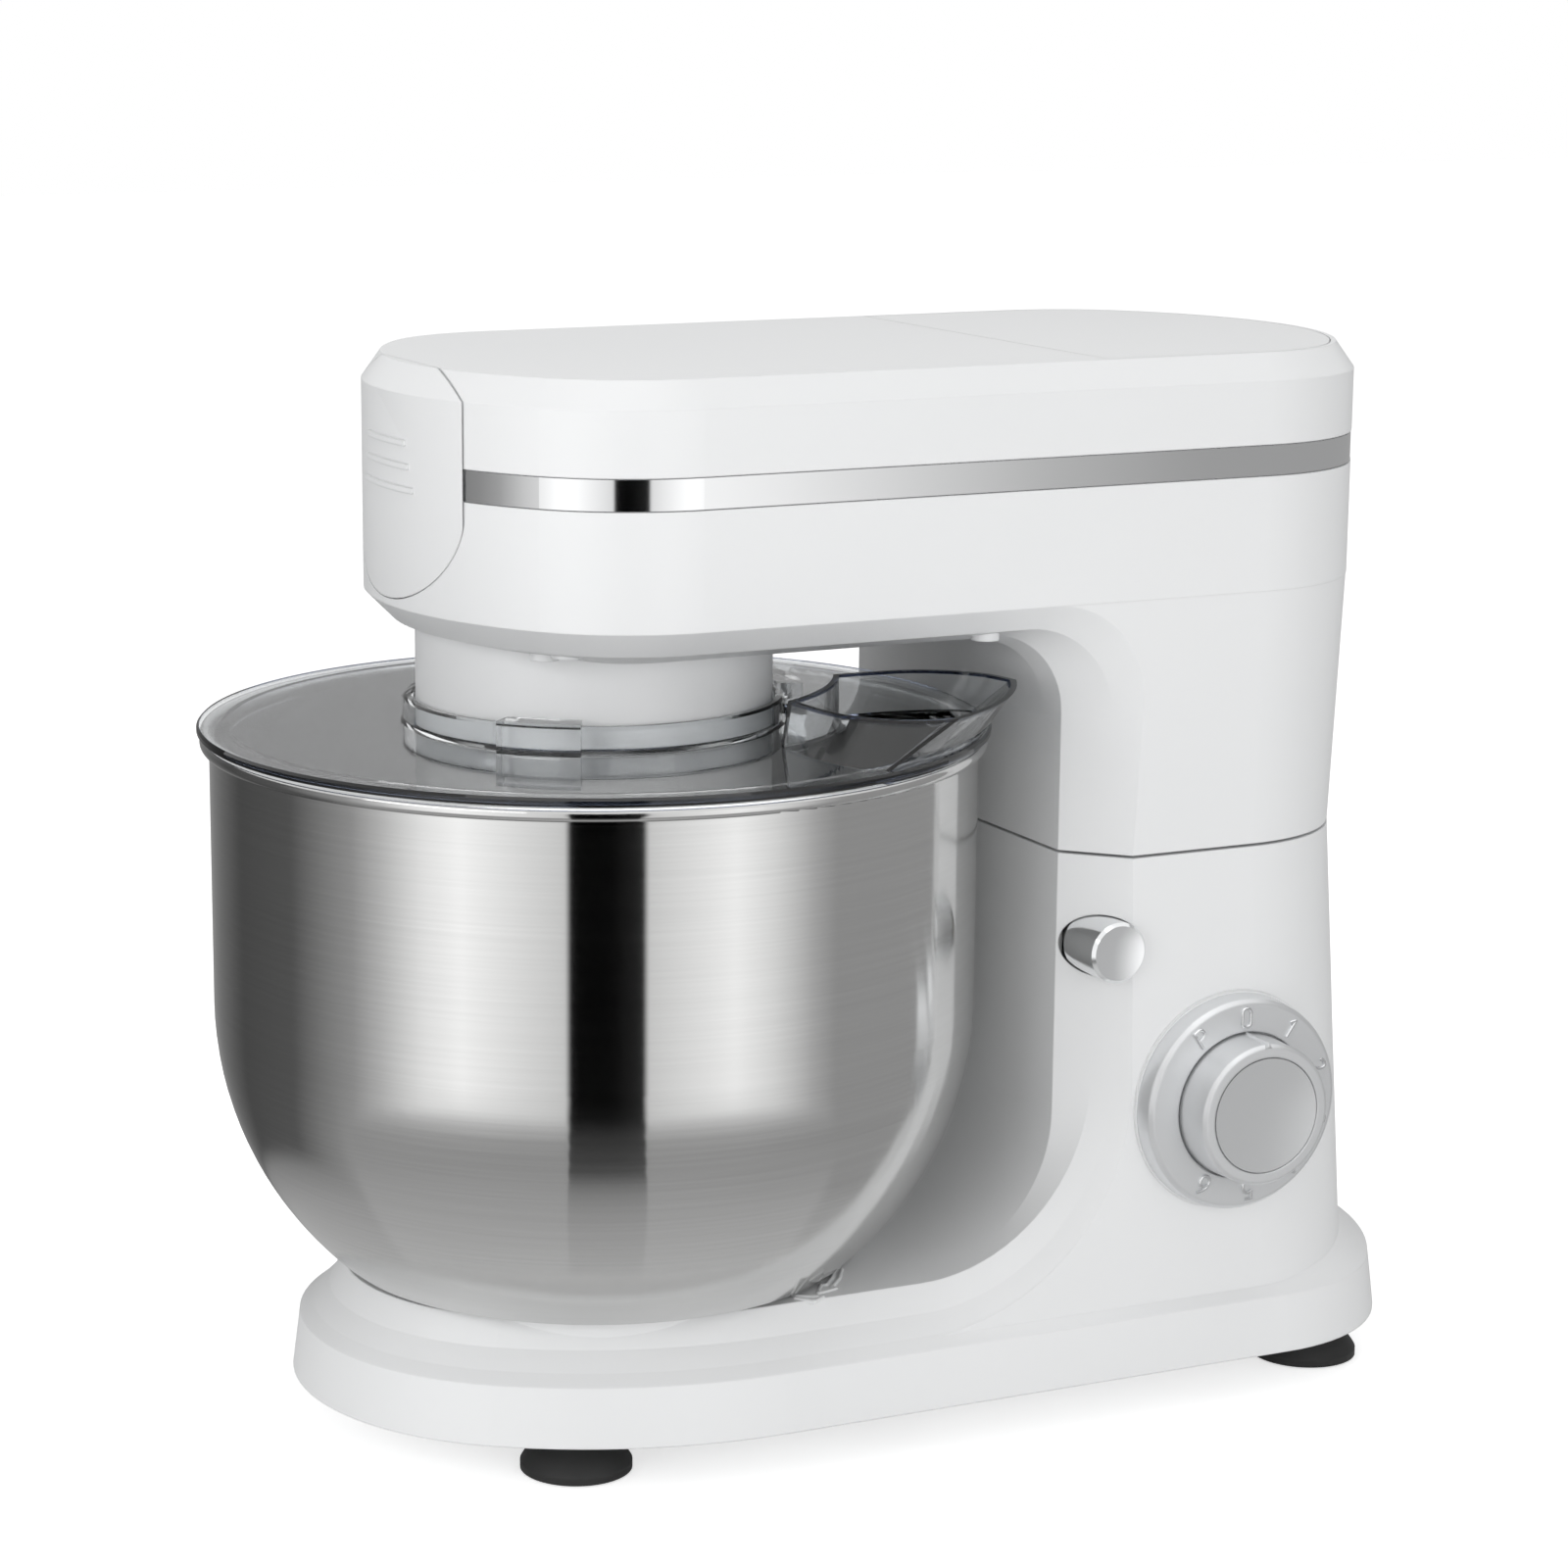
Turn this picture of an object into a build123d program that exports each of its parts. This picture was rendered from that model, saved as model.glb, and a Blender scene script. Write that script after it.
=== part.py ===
"""Tilt-head stand mixer with a steel bowl, a clear splash guard and a planetary tool drive.

Millimetres, +Z up. X runs from the nose (minus) to the column (plus), and the dial faces minus Y.
The origin is on the table, under the middle of the mixer's outline.
"""

import os
from math import cos, radians, sin, sqrt, tan

from build123d import *

os.makedirs("parts", exist_ok=True)

# Named clearances
fit_gap = 0.3  # play between pieces that lie side by side
running_fit = 0.05  # radial play of a shaft in its bore
press_gap = 0.02  # radial play of a piece pressed on a shaft or into a seat
lap = 1.0  # how far a cut or a joined piece runs past the face it meets
far = 400.0  # longer than the mixer, for cuts that go right through

# Bowl
bowl_x = -70.0  # bowl, neck and tool drive share this upright axis
bowl_radius = 110.5
bowl_height = 152.4  # underside to the middle of the rim's bead
bowl_wall = 1.5
bowl_bottom = 2.3
bowl_bead_radius = 2.0
bowl_bead_out = 0.7
bowl_corner = 10.5  # the lower round's centre lies this far from the axis
bowl_round_cut = 24.2  # the flat bottom cuts this much off the round
bowl_foot_wall = 2.0
lug_count = 3
lug_span = 34.0
lug_reach = 3.3
lug_height = 2.4
lug_play = 0.7
lip_span = 40.0
lip_reach = 2.6
lip_height = 2.0
lock_wall = 1.8
seat_wall = 2.9
seat_floor = 3.0
seat_depth = 5.5
foot_ring_in = 10.5  # bowl's foot ring inside the platform's edge

# Base
wall = 3.0
foot_height = 14.0  # table to the underside of the base
flange_height = 17.0  # upright edge of the base, up to its crease
seat_rise = 15.5  # crease to the platform that the bowl stands in
bowl_lift = 1.7  # platform to the bowl's underside
base_toe = 90.4  # bowl's axis to the front of the base
base_heel = 19.0  # back of the head to the back of the base
base_step = 5.5  # base wider than the head, on each side
base_front_corner = 140.0
base_front_crown = 74.0
base_rear_corner = 56.0
base_rear_crown = 105.0
flange_draft = 2.2
ogee_low_in = 6.0
ogee_low_rise = 3.0
ogee_mid_in = 11.0
ogee_mid_rise = 8.0
seat_in = 15.5
base_plate_thickness = 3.0
base_plate_gap = 1.0
base_post_radius = 4.5
post_inset = 15.0
post_step = 5.0
post_low_rise = 5.0
post_mid_rise = 14.0
post_high_rise = 29.0
post_mid_back = 65.0
post_rear_back = 51.8
post_rear_inset = 11.0
screw_head_radius = 4.0
screw_head_height = 2.2
screw_shank_radius = 1.7
screw_length = 9.0

# Head
head_half_width = 80.5
head_height = 80.0
head_end_corner = 50.0
head_end_crown = 100.0
nose_reach = 63.5  # bowl's axis to the nose
bottom_bevel_in = 7.3
bottom_bevel_height = 7.3
underside_in = 27.5
underside_rise = 5.2  # the underside climbs this much out to the bevel
top_bevel_in = 5.4
top_bevel_height = 7.6
strip_drop = 25.6  # top of the head to the bright strip
strip_height = 9.0
strip_depth = 1.4
strip_thickness = 1.2
strip_seat = 0.1

# Column
bowl_gap = 7.7  # bowl's wall to the column's flat face
column_depth = 116.8  # that face to the back of the head
column_chamfer = 18.0  # slanted band on each side of the face
column_tail = 61.8  # head's underside to the lower edge of the tilting column
column_draft = 2.5  # the tilting column narrows by this down to the split
column_lean = 0.5
column_foot_out = 7.0  # the fixed column leans out by this down to the base
column_lap = 4.0
column_room = 30.0  # the tilting column starts this far in front of its face, under the head
base_room = 58.2  # the fixed column starts this far in front of its face, above the base
split_gap = 0.8  # open joint between the fixed column and the tilting head
upper_blend = 24.0  # radius under the head
upper_blend_growth = 0.35  # the radius grows by this per mm towards the side
lower_blend = 43.5  # radius above the seat
lower_blend_growth = 1.4
run_out = 5.0  # the openings' end sections lie this far outside the base
opening_lead = 10.0  # the openings start this far behind the bowl's axis
opening_over = 30.0

# Hinge
hinge_inset = 15.0  # back of the head to the pin
hinge_rise = 22.6  # split to the pin
hinge_pin_radius = 3.5
hinge_eye_radius = 6.5
hinge_post_half = 12.0  # half width of the post that carries the pin
hinge_foot_length = 26.0
hinge_foot_ahead = 16.0
hinge_foot_height = 4.0
hinge_foot_half = 16.0
hinge_foot_shoulder = 3.0
hinge_lug = 6.0  # thickness of each lug on the head
hinge_plate_thickness = 4.0
hinge_plate_rise = 1.0  # above the head's lower edge
hinge_opening_play = 3.0
sweep_gap = 0.4  # least gap of the head's rear edge above the fixed column

# Front cap
cap_depth = 8.2
cap_round_drop = 37.0  # below this distance from the top the cap's edge is round
cap_round_depth = 28.7
cap_wall = 2.2
cap_rib_drop = 21.0
cap_rib_pitch = 6.4
cap_rib_lengths = (28.0, 31.0, 36.0)
cap_rib_height = 1.6
cap_rib_proud = 0.7
clip_width = 8.0
clip_thickness = 2.0
clip_spread = 22.0
clip_high_drop = 16.0
clip_low_drop = 48.0
clip_hold = 5.0  # the clips reach this far past the nose wall

# Rear outlet cover on the top
hatch_back = 5.8  # its front seam behind the column's face
hatch_in = 7.0
hatch_thickness = 2.0

# Splash guard
guard_gap = 0.4
guard_edge = 2.5
guard_plate = 2.0
guard_overhang = 3.5
skirt_gap = 2.0
skirt_wall = 2.0
skirt_depth = 4.0
collar_play = 0.6
collar_wall = 3.0
collar_height = 7.4
tab_count = 3
tab_span = 23.0
tab_depth = 5.5
tab_height = 9.1
tab_angle = -128.6
chute_angle = -43.5
chute_height = 12.5
chute_wall = 1.8
chute_start = 10.1  # collar to the chute's near wall
chute_flare = 25.0
chute_near_half = 22.0
chute_mid_half = 37.0
chute_far_half = 31.0
chute_far_bow = 4.5
chute_base_in = 8.0
chute_rim_in = 0.5

# Neck and planetary drive
neck_radius = 51.3
neck_rise = 0.7  # guard to the neck's lower edge
neck_length = 23.8  # neck's lower edge to the head's underside
neck_wall = 3.0
neck_web = 10.0
plate_rise = 12.0
plate_thickness = 4.0
plate_in = 14.0
plate_ahead = 52.0
plate_behind = 74.0
post_radius = 5.0
post_front_ahead = 30.0
post_front_y = 52.0
post_rear_behind = 64.0
post_rear_y = 58.0
gear_module = 1.25
ring_teeth = 64
planet_teeth = 16
drive_teeth = 60
pinion_teeth = 15
tooth_root = 0.27  # half tooth angle at the root, as a share of the pitch
tooth_tip = 0.13
addendum = 0.7
dedendum = 1.0
gear_height = 8.0
ring_height = 12.0
planet_height = 11.0
planet_clear = 1.7
carrier_radius = 47.0
carrier_drop = 6.7  # carrier's underside below the neck's edge
carrier_height = 8.5
carrier_hub_radius = 12.0
carrier_hub_height = 5.0
carrier_shaft_seat = 3.5
shaft_radius = 6.0
shaft_end = 3.0
bearing_radius = 13.0
bearing_height = 8.0
boss_wall = 3.0
boss_height = 10.0
gear_clear = 2.0
lay_shaft_radius = 5.0
lay_bearing_radius = 11.0
pulley_clear = 4.0
pulley_height = 10.0
large_pulley_radius = 36.0
motor_pulley_radius = 9.0
pulley_flange = 3.0
belt_gap = 0.4
belt_thickness = 2.2
belt_width = 7.0
bush_wall = 3.0

# Motor in the tilting column
motor_back = 37.8  # column's face to the motor's axis
motor_shaft_radius = 4.0
motor_shaft_end = 2.0
stator_side = 60.0
stator_height = 34.0
stator_clear = 5.0
armature_radius = 18.0
stator_bore = 19.0
commutator_radius = 11.0
commutator_height = 13.0
commutator_clear = 3.0
fan_radius = 26.0
fan_height = 9.0
fan_rise = 8.8
fan_disc = 2.0
fan_blades = 12
fan_blade = 15.6
fan_blade_middle = 16.1
fan_blade_thickness = 1.6
motor_bar_width = 20.0
motor_bar_height = 5.0
motor_bar_clear = 4.0
motor_post = 8.0
bush_radius = 8.0

# Tool shaft and dough hook
tool_shaft_drop = 23.5
tool_pin_radius = 2.5
tool_pin_half = 12.0
tool_pin_rise = 8.0
hook_hub_radius = 10.0
hook_hub_below = 8.0
hook_hub_clear = 5.5
hook_bore_end = 2.0
hook_rod_radius = 5.0
hook_neck = 5.0
hook_bend = 12.0
hook_shelf = 4.0
hook_tip = 24.0
hook_floor_gap = 15.5

# Release button and latch
button_back_off = 9.8  # button's axis behind the column's face
button_drop = 26.4  # split to the button's axis
button_radius = 8.9
button_proud = 1.5
button_length = 16.5
button_dish = 1.0
button_chamfer = 0.9
button_stem_radius = 4.0
button_travel = 4.0
button_gap = 0.3
button_hole_past = 1.5  # the hole ends this far past the crease of the slanted band
latch_bracket_gap = 15.5
latch_bracket_thickness = 4.0
latch_bracket_half = 10.0
latch_bracket_drop = 15.0
tongue_back = 4.0
tongue_y = -14.0
tongue_width = 12.0
tongue_thickness = 4.0
tongue_drop = 11.4
tongue_slot_play = 4.5
tongue_play = 0.6
latch_arm_thickness = 4.0
latch_arm_half = 4.0
latch_arm_rise = 6.0
spring_outer = 6.5
spring_inner = 5.0

# Speed dial
dial_back = 50.0  # dial's axis behind the column's face
dial_rise = 61.6  # base's crease to the dial's axis
dial_pad_sink = 0.3
dial_pad_edge = 0.6
bezel_radius = 32.0
bezel_taper = 0.5
bezel_chamfer = 1.2
bezel_depth = 6.5
bezel_recess = 2.5
bezel_gap = 0.6
knob_radius = 21.4
knob_depth = 14.0
knob_draft = 0.4
knob_chamfer = 1.0
knob_rim = 4.4
insert_depth = 1.6
insert_dish = 0.8
spindle_radius = 3.0
spindle_depth = 8.0
switch_side = 30.0
switch_depth = 16.0
switch_gap = 1.5
switch_neck_radius = 6.0
board_back = 63.8
board_width = 64.0
board_height = 46.0
board_thickness = 1.6
board_rise = 10.0
board_post = 5.0
sink_height = 22.0

# Feet, vents and gland
foot_ahead = 28.0  # front feet in front of the bowl's axis
foot_heel = 40.0  # rear feet in front of the back of the base
foot_front_in = 35.0
foot_rear_in = 32.0
foot_radius = 16.0
foot_stem_radius = 9.0
foot_stem_height = 5.0
foot_edge = 2.2
foot_hollow = 4.0
vent_count = 6
vent_rise = 61.0
vent_pitch = 8.0
vent_width = 64.0
vent_height = 3.2
gland_rise = 25.0
gland_radius = 7.0
gland_flange_radius = 9.5
gland_bore = 3.6
gland_length = 6.0
plug_radius = 4.0
plug_ahead = 34.0
plug_front_y = 44.0
plug_rear_ahead = 26.2
plug_rear_y = 64.0
plug_sink = 1.6
plug_height = 4.4

# Levels, from the table up
flange_top = foot_height + flange_height
seat_top = flange_top + seat_rise
bowl_foot_low = seat_top - seat_depth
bowl_under = seat_top + bowl_lift
bowl_floor = bowl_under + bowl_bottom
bowl_rim_level = bowl_under + bowl_height
bowl_round = bowl_radius - bowl_corner
bowl_straight_low = bowl_under + bowl_round - bowl_round_cut
guard_low = bowl_rim_level + bowl_bead_radius + guard_gap
guard_top = guard_low + guard_edge
guard_under = guard_top - guard_plate
neck_low = guard_top + neck_rise
head_under = neck_low + neck_length
head_bevel_low = head_under + underside_rise
head_side_low = head_bevel_low + bottom_bevel_height
head_top = head_under + head_height
top_bevel_low = head_top - top_bevel_height
strip_high = head_top - strip_drop
strip_low = strip_high - strip_height
part_line = (strip_low + strip_high) / 2
head_low = head_under - column_tail
split_low = head_low - split_gap
deck_low = split_low - wall
hinge_z = split_low + hinge_rise
plate_bottom = head_low + hinge_plate_rise
plate_top = plate_bottom + hinge_plate_thickness
carrier_low = neck_low - carrier_drop
carrier_high = carrier_low + carrier_height
carrier_hub_high = carrier_high + carrier_hub_height
planet_low = carrier_hub_high + fit_gap
neck_web_low = planet_low + planet_height + planet_clear - fit_gap
neck_web_high = neck_web_low + neck_web
plate_low = head_under + plate_rise
plate_boss_high = plate_low + boss_height
drive_gear_low = plate_boss_high + gear_clear
pulley_low = drive_gear_low + gear_height + pulley_clear
fan_low = plate_top + fan_rise
stator_low = fan_low + fan_height + stator_clear
commutator_low = stator_low + stator_height + commutator_clear
motor_top_bar = commutator_low + commutator_height + motor_bar_clear
tool_shaft_low = carrier_low - tool_shaft_drop
tool_pin_level = tool_shaft_low + tool_pin_rise
hook_hub_low = tool_shaft_low - hook_hub_below
hook_shelf_z = hook_hub_low - hook_neck - hook_bend
hook_round = (hook_shelf_z - hook_rod_radius - bowl_floor - hook_floor_gap) / 2
button_z = split_low - button_drop
tongue_low = split_low - tongue_drop
dial_z = flange_top + dial_rise
base_plate_top = foot_height + base_plate_thickness
board_low = base_plate_top + board_rise

# Places along and across the mixer
column_front = bowl_x + bowl_radius + bowl_gap
head_front = bowl_x - nose_reach
head_rear = column_front + column_depth
base_front = bowl_x - base_toe
base_rear = head_rear + base_heel
base_half_width = head_half_width + base_step
column_rear_split = head_rear - column_lean
column_rear_foot = head_rear + column_foot_out
hinge_x = head_rear - hinge_inset
hinge_foot_rear = hinge_x - hinge_foot_ahead
hinge_foot_front = hinge_foot_rear - hinge_foot_length
motor_x = column_front + motor_back
button_x = column_front + button_back_off
tongue_x = button_x + tongue_back
dial_x = column_front + dial_back
dial_pad_y = dial_pad_sink - head_half_width
button_face = -head_half_width - button_proud
board_x = column_front + board_back
hatch_front = column_front + hatch_back
opening_start = bowl_x + opening_lead
cap_seam_x = head_front + cap_depth
cap_half_width = sqrt(head_end_crown**2 - (head_end_crown - cap_depth) ** 2)
cap_round_z = head_top - cap_round_drop
tool_offset = gear_module * (ring_teeth - planet_teeth) / 2
tool_x = bowl_x - tool_offset
lay_x = bowl_x + gear_module * (drive_teeth + pinion_teeth) / 2
guard_radius = bowl_radius + guard_overhang
skirt_radius = bowl_radius - bowl_wall - skirt_gap
collar_inner = neck_radius + collar_play
collar_radius = collar_inner + collar_wall
chute_near = collar_radius + chute_start
chute_mid = chute_near + chute_flare
bowl_foot_radius = base_half_width - seat_in - foot_ring_in
lock_inner = bowl_foot_radius + lug_reach + lug_play
seat_radius = lock_inner + lock_wall + fit_gap
base_posts = (
    (bowl_x, base_half_width - post_inset, flange_top + post_low_rise),
    (bowl_x + post_mid_back, base_half_width - post_inset - post_step, flange_top + post_mid_rise),
    (column_front + post_rear_back, base_half_width - post_rear_inset, flange_top + post_high_rise),
)
bowl_axis = Axis((bowl_x, 0, 0), (0, 0, 1))
bowl_section = Plane(origin=(bowl_x, 0, 0), x_dir=(1, 0, 0), z_dir=(0, -1, 0))


def disc(x, y, low, high, radius, bore=0.0):
    """Upright round piece, with a bore where one is given."""
    with BuildPart(mode=Mode.PRIVATE) as piece:
        with BuildSketch(Plane.XY.offset(low)):
            with Locations((x, y)):
                Circle(radius)
                if bore:
                    Circle(bore, mode=Mode.SUBTRACT)
        extrude(amount=high - low)
    return piece.part


def block(x0, x1, y0, y1, z0, z1):
    """Square-edged piece between two corners."""
    with BuildPart(mode=Mode.PRIVATE) as piece:
        with BuildSketch(Plane.XY.offset(z0)):
            with Locations(((x0 + x1) / 2, (y0 + y1) / 2)):
                Rectangle(x1 - x0, y1 - y0)
        extrude(amount=z1 - z0)
    return piece.part


def side_rod(x, z, y0, y1, radius, bore=0.0):
    """Round piece that lies across the mixer, from y0 to y1."""
    with BuildPart(mode=Mode.PRIVATE) as piece:
        with BuildSketch(Plane.XZ.offset(-y0)):
            with Locations((x, z)):
                Circle(radius)
                if bore:
                    Circle(bore, mode=Mode.SUBTRACT)
        extrude(amount=y0 - y1)
    return piece.part


def ring_sector(low, high, inner, outer, middle, span):
    """Part of an upright ring about the bowl's axis."""
    with BuildPart(mode=Mode.PRIVATE) as piece:
        with BuildSketch(Plane((bowl_x, 0, low))):
            with BuildLine():
                rim = CenterArc((0, 0), outer, middle - span / 2, span)
                bore = CenterArc((0, 0), inner, middle - span / 2, span)
                Line(rim @ 0, bore @ 0)
                Line(rim @ 1, bore @ 1)
            make_face()
        extrude(amount=high - low)
    return piece.part


def end_points(tip, direction, half_width, corner, crown, inset):
    """Tangent points of one crowned end: on the side line, and between corner and crown arcs."""
    crown_x = tip - direction * crown
    reach = sqrt((crown - corner) ** 2 - (half_width - corner) ** 2)
    side = 1 if crown > corner else -1
    corner_x = crown_x + side * direction * reach
    slope_x = side * (corner_x - crown_x) / abs(crown - corner)
    slope_y = side * (half_width - corner) / abs(crown - corner)
    radius = crown - inset
    return corner_x, crown_x + radius * slope_x, radius * slope_y


def crowned_plan(z, front, rear, half_width, front_end, rear_end, inset=0.0):
    """Flat outline with straight sides and crowned ends; an inset keeps every arc's centre."""
    width = half_width - inset
    front_side, front_x, front_y = end_points(front, -1, half_width, *front_end, inset)
    rear_side, rear_x, rear_y = end_points(rear, 1, half_width, *rear_end, inset)
    with BuildSketch(Plane.XY.offset(z), mode=Mode.PRIVATE) as outline:
        with BuildLine():
            left = Line((rear_side, width), (front_side, width))
            turn_a = TangentArc(left @ 1, (front_x, front_y), tangent=left % 1)
            nose = TangentArc(turn_a @ 1, (front_x, -front_y), tangent=turn_a % 1)
            turn_b = TangentArc(nose @ 1, (front_side, -width), tangent=nose % 1)
            right = Line(turn_b @ 1, (rear_side, -width))
            turn_c = TangentArc(right @ 1, (rear_x, -rear_y), tangent=right % 1)
            tail = TangentArc(turn_c @ 1, (rear_x, rear_y), tangent=turn_c % 1)
            TangentArc(tail @ 1, left @ 0, tangent=tail % 1)
        make_face()
    return outline.sketch


head_end = (head_end_corner, head_end_crown)
base_front_end = (base_front_corner, base_front_crown)
base_rear_end = (base_rear_corner, base_rear_crown)


def head_plan(z, inset):
    return crowned_plan(z, head_front, head_rear, head_half_width, head_end, head_end, inset)


def base_plan(z, inset):
    return crowned_plan(z, base_front, base_rear, base_half_width, base_front_end, base_rear_end, inset)


def column_plan(z, rear, inset):
    half = head_half_width
    return crowned_plan(z, head_front, rear, half, head_end, head_end, inset)


def upper_opening(inset):
    """Space between the head and the seat, above the split: sections across the mixer."""
    outer = base_half_width + run_out
    bevel_end = head_half_width - bottom_bevel_in
    chamfer_end = head_half_width - column_chamfer
    slope_end = head_half_width - underside_in
    rise = (head_side_low - head_bevel_low) / bottom_bevel_in
    fall = (head_bevel_low - head_under) / (bevel_end - slope_end)
    crease = column_front + column_chamfer
    low = split_low - opening_over
    sections = []
    for half in (outer, bevel_end, chamfer_end, slope_end):
        ceiling = head_bevel_low + rise * max(half - bevel_end, 0)
        ceiling = ceiling - fall * max(bevel_end - half, 0) + inset
        face_x = crease - min(head_half_width - half, column_chamfer) + inset
        blend = upper_blend + upper_blend_growth * max(half - chamfer_end, 0)
        sections.append((half, ceiling, face_x, blend))
    faces = []
    order = [(-1, s) for s in sections] + [(1, s) for s in reversed(sections)]
    for side, (half, ceiling, face_x, blend) in order:
        with BuildSketch(Plane.XZ.offset(-side * half), mode=Mode.PRIVATE) as section:
            with BuildLine():
                start = Line((opening_start, low), (opening_start, ceiling))
                top = Line(start @ 1, (face_x - blend, ceiling))
                bend = TangentArc(top @ 1, (face_x, ceiling - blend), tangent=top % 1)
                Polyline(bend @ 1, (face_x, low), start @ 0)
            make_face()
        faces.append(section.sketch)
    return faces


def lower_opening(inset):
    """Space above the seat and in front of the fixed column: sections across the mixer."""
    crease = column_front + column_chamfer
    chamfer_end = head_half_width - column_chamfer
    high = split_low + opening_over
    steps = (
        (base_half_width + run_out, flange_top - run_out),
        (base_half_width - ogee_low_in, flange_top + ogee_low_rise),
        (base_half_width - ogee_mid_in, flange_top + ogee_mid_rise),
        (base_half_width - seat_in, seat_top),
        (chamfer_end, seat_top),
    )
    faces = []
    order = [(-1, s) for s in steps] + [(1, s) for s in reversed(steps)]
    for side, (half, floor_z) in order:
        floor = floor_z - inset
        face_x = crease - min(head_half_width - half, column_chamfer) + inset
        blend = lower_blend + lower_blend_growth * max(half - chamfer_end, 0)
        with BuildSketch(Plane.XZ.offset(-side * half), mode=Mode.PRIVATE) as section:
            with BuildLine():
                start = Line((opening_start, high), (opening_start, floor))
                ground = Line(start @ 1, (face_x - blend, floor))
                bend = TangentArc(ground @ 1, (face_x, floor + blend), tangent=ground % 1)
                Polyline(bend @ 1, (face_x, high), start @ 0)
            make_face()
        faces.append(section.sketch)
    return faces


def head_body(inset):
    """Head with its tilting column, as one closed body; the cavity is the same body, inset."""
    with BuildPart(mode=Mode.PRIVATE) as column:
        loft(
            [
                column_plan(head_low - inset, column_rear_split, column_draft + inset),
                head_plan(head_side_low + column_lap, inset),
            ],
            ruled=True,
        )
        add(block(-far, column_front - column_room, -far, far, 0, far), mode=Mode.SUBTRACT)
        loft(upper_opening(inset), ruled=True, mode=Mode.SUBTRACT)
    with BuildPart(mode=Mode.PRIVATE) as body:
        loft(
            [
                head_plan(head_under + inset, underside_in + inset),
                head_plan(head_bevel_low + inset, bottom_bevel_in + inset),
                head_plan(head_side_low + inset, inset),
                head_plan(top_bevel_low - inset, inset),
                head_plan(head_top - inset, top_bevel_in + inset),
            ],
            ruled=True,
        )
        add(column.part)
    return body.part


def base_body(inset):
    """Base with the fixed column, as one closed body; the cavity is the same body, inset."""
    with BuildPart(mode=Mode.PRIVATE) as column:
        loft(
            [
                column_plan(flange_top, column_rear_foot, inset),
                column_plan(split_low - inset, column_rear_split, column_draft + inset),
            ],
            ruled=True,
        )
        add(block(-far, column_front - base_room, -far, far, 0, far), mode=Mode.SUBTRACT)
        loft(lower_opening(inset), ruled=True, mode=Mode.SUBTRACT)
    with BuildPart(mode=Mode.PRIVATE) as body:
        loft(
            [
                base_plan(foot_height, inset),
                base_plan(flange_top - inset, flange_draft + inset),
                base_plan(flange_top + ogee_low_rise - inset, ogee_low_in + inset),
                base_plan(flange_top + ogee_mid_rise - inset, ogee_mid_in + inset),
                base_plan(seat_top - inset, seat_in + inset),
            ],
            ruled=True,
        )
        add(column.part)
    return body.part


def gear_outline(teeth, phase, inner_teeth=False):
    """Straight-flanked tooth outline on its own axis; a ring gear's teeth point inwards."""
    pitch = 360.0 / teeth
    pitch_radius = gear_module * teeth / 2
    side = -1 if inner_teeth else 1
    tip = pitch_radius + side * addendum * gear_module
    root = pitch_radius - side * dedendum * gear_module
    points = []
    for tooth in range(teeth):
        middle = phase + tooth * pitch
        for radius, share in ((root, -tooth_root), (tip, -tooth_tip), (tip, tooth_tip), (root, tooth_root)):
            angle = radians(middle + share * pitch)
            points.append((radius * cos(angle), radius * sin(angle)))
    return points


def gear(x, low, high, teeth, phase, bore):
    """Spur gear on an upright shaft."""
    with BuildPart(mode=Mode.PRIVATE) as piece:
        with BuildSketch(Plane((x, 0, low))):
            Polygon(*gear_outline(teeth, phase), align=None)
            Circle(bore, mode=Mode.SUBTRACT)
        extrude(amount=high - low)
    return piece.part


def cap_block(gap):
    """Shield-shaped block in front of the cap's seam, round at its lower end."""
    with BuildPart(mode=Mode.PRIVATE) as shield:
        with BuildSketch(Plane.YZ.offset(cap_seam_x - gap)):
            with Locations((0, cap_round_z)):
                Ellipse(cap_half_width - gap, cap_round_depth - gap)
            with Locations((0, (cap_round_z + head_top + cap_depth) / 2)):
                Rectangle(2 * cap_half_width + cap_depth, head_top + cap_depth - cap_round_z)
        extrude(amount=-2 * cap_depth)
    return shield.part


def grip_rib(level, length):
    """Low bar across the cap that follows its crown."""
    with BuildPart(mode=Mode.PRIVATE) as rib:
        extrude(head_plan(level - cap_rib_height / 2, -cap_rib_proud), amount=cap_rib_height)
        extrude(head_plan(level - cap_rib_height / 2, cap_wall / 2), amount=cap_rib_height, mode=Mode.SUBTRACT)
        front = head_front - cap_depth
        add(block(front, cap_seam_x, -length / 2, length / 2, 0, far), mode=Mode.INTERSECT)
    return rib.part


# Bodies of the head and the base, outside and inside
head_outside = head_body(0.0)
base_outside = base_body(0.0)
with BuildPart(mode=Mode.PRIVATE) as head_inside:
    add(head_body(wall))
    add(block(-far, cap_seam_x + wall, -far, far, 0, far), mode=Mode.SUBTRACT)
base_inside = base_body(wall)
with BuildPart(mode=Mode.PRIVATE) as strip_groove:
    extrude(head_plan(strip_low, -lap), amount=strip_height)
    extrude(head_plan(strip_low, strip_depth), amount=strip_height, mode=Mode.SUBTRACT)
with BuildPart(mode=Mode.PRIVATE) as rear_sweep:
    add(block(hinge_x, far, -far, far, 0, hinge_z - hinge_eye_radius))
    add(side_rod(hinge_x, hinge_z, -far, far, hinge_z - split_low - sweep_gap), mode=Mode.SUBTRACT)
clip_levels = (head_top - clip_low_drop, head_top - clip_high_drop)
with BuildPart(mode=Mode.PRIVATE) as clip_slots:
    for level in clip_levels:
        for side in (-1, 1):
            half = clip_width / 2 + fit_gap
            middle = side * clip_spread
            deep = clip_thickness / 2 + fit_gap
            add(block(cap_seam_x - lap, cap_seam_x + wall + lap, middle - half, middle + half, level - deep, level + deep))
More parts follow.
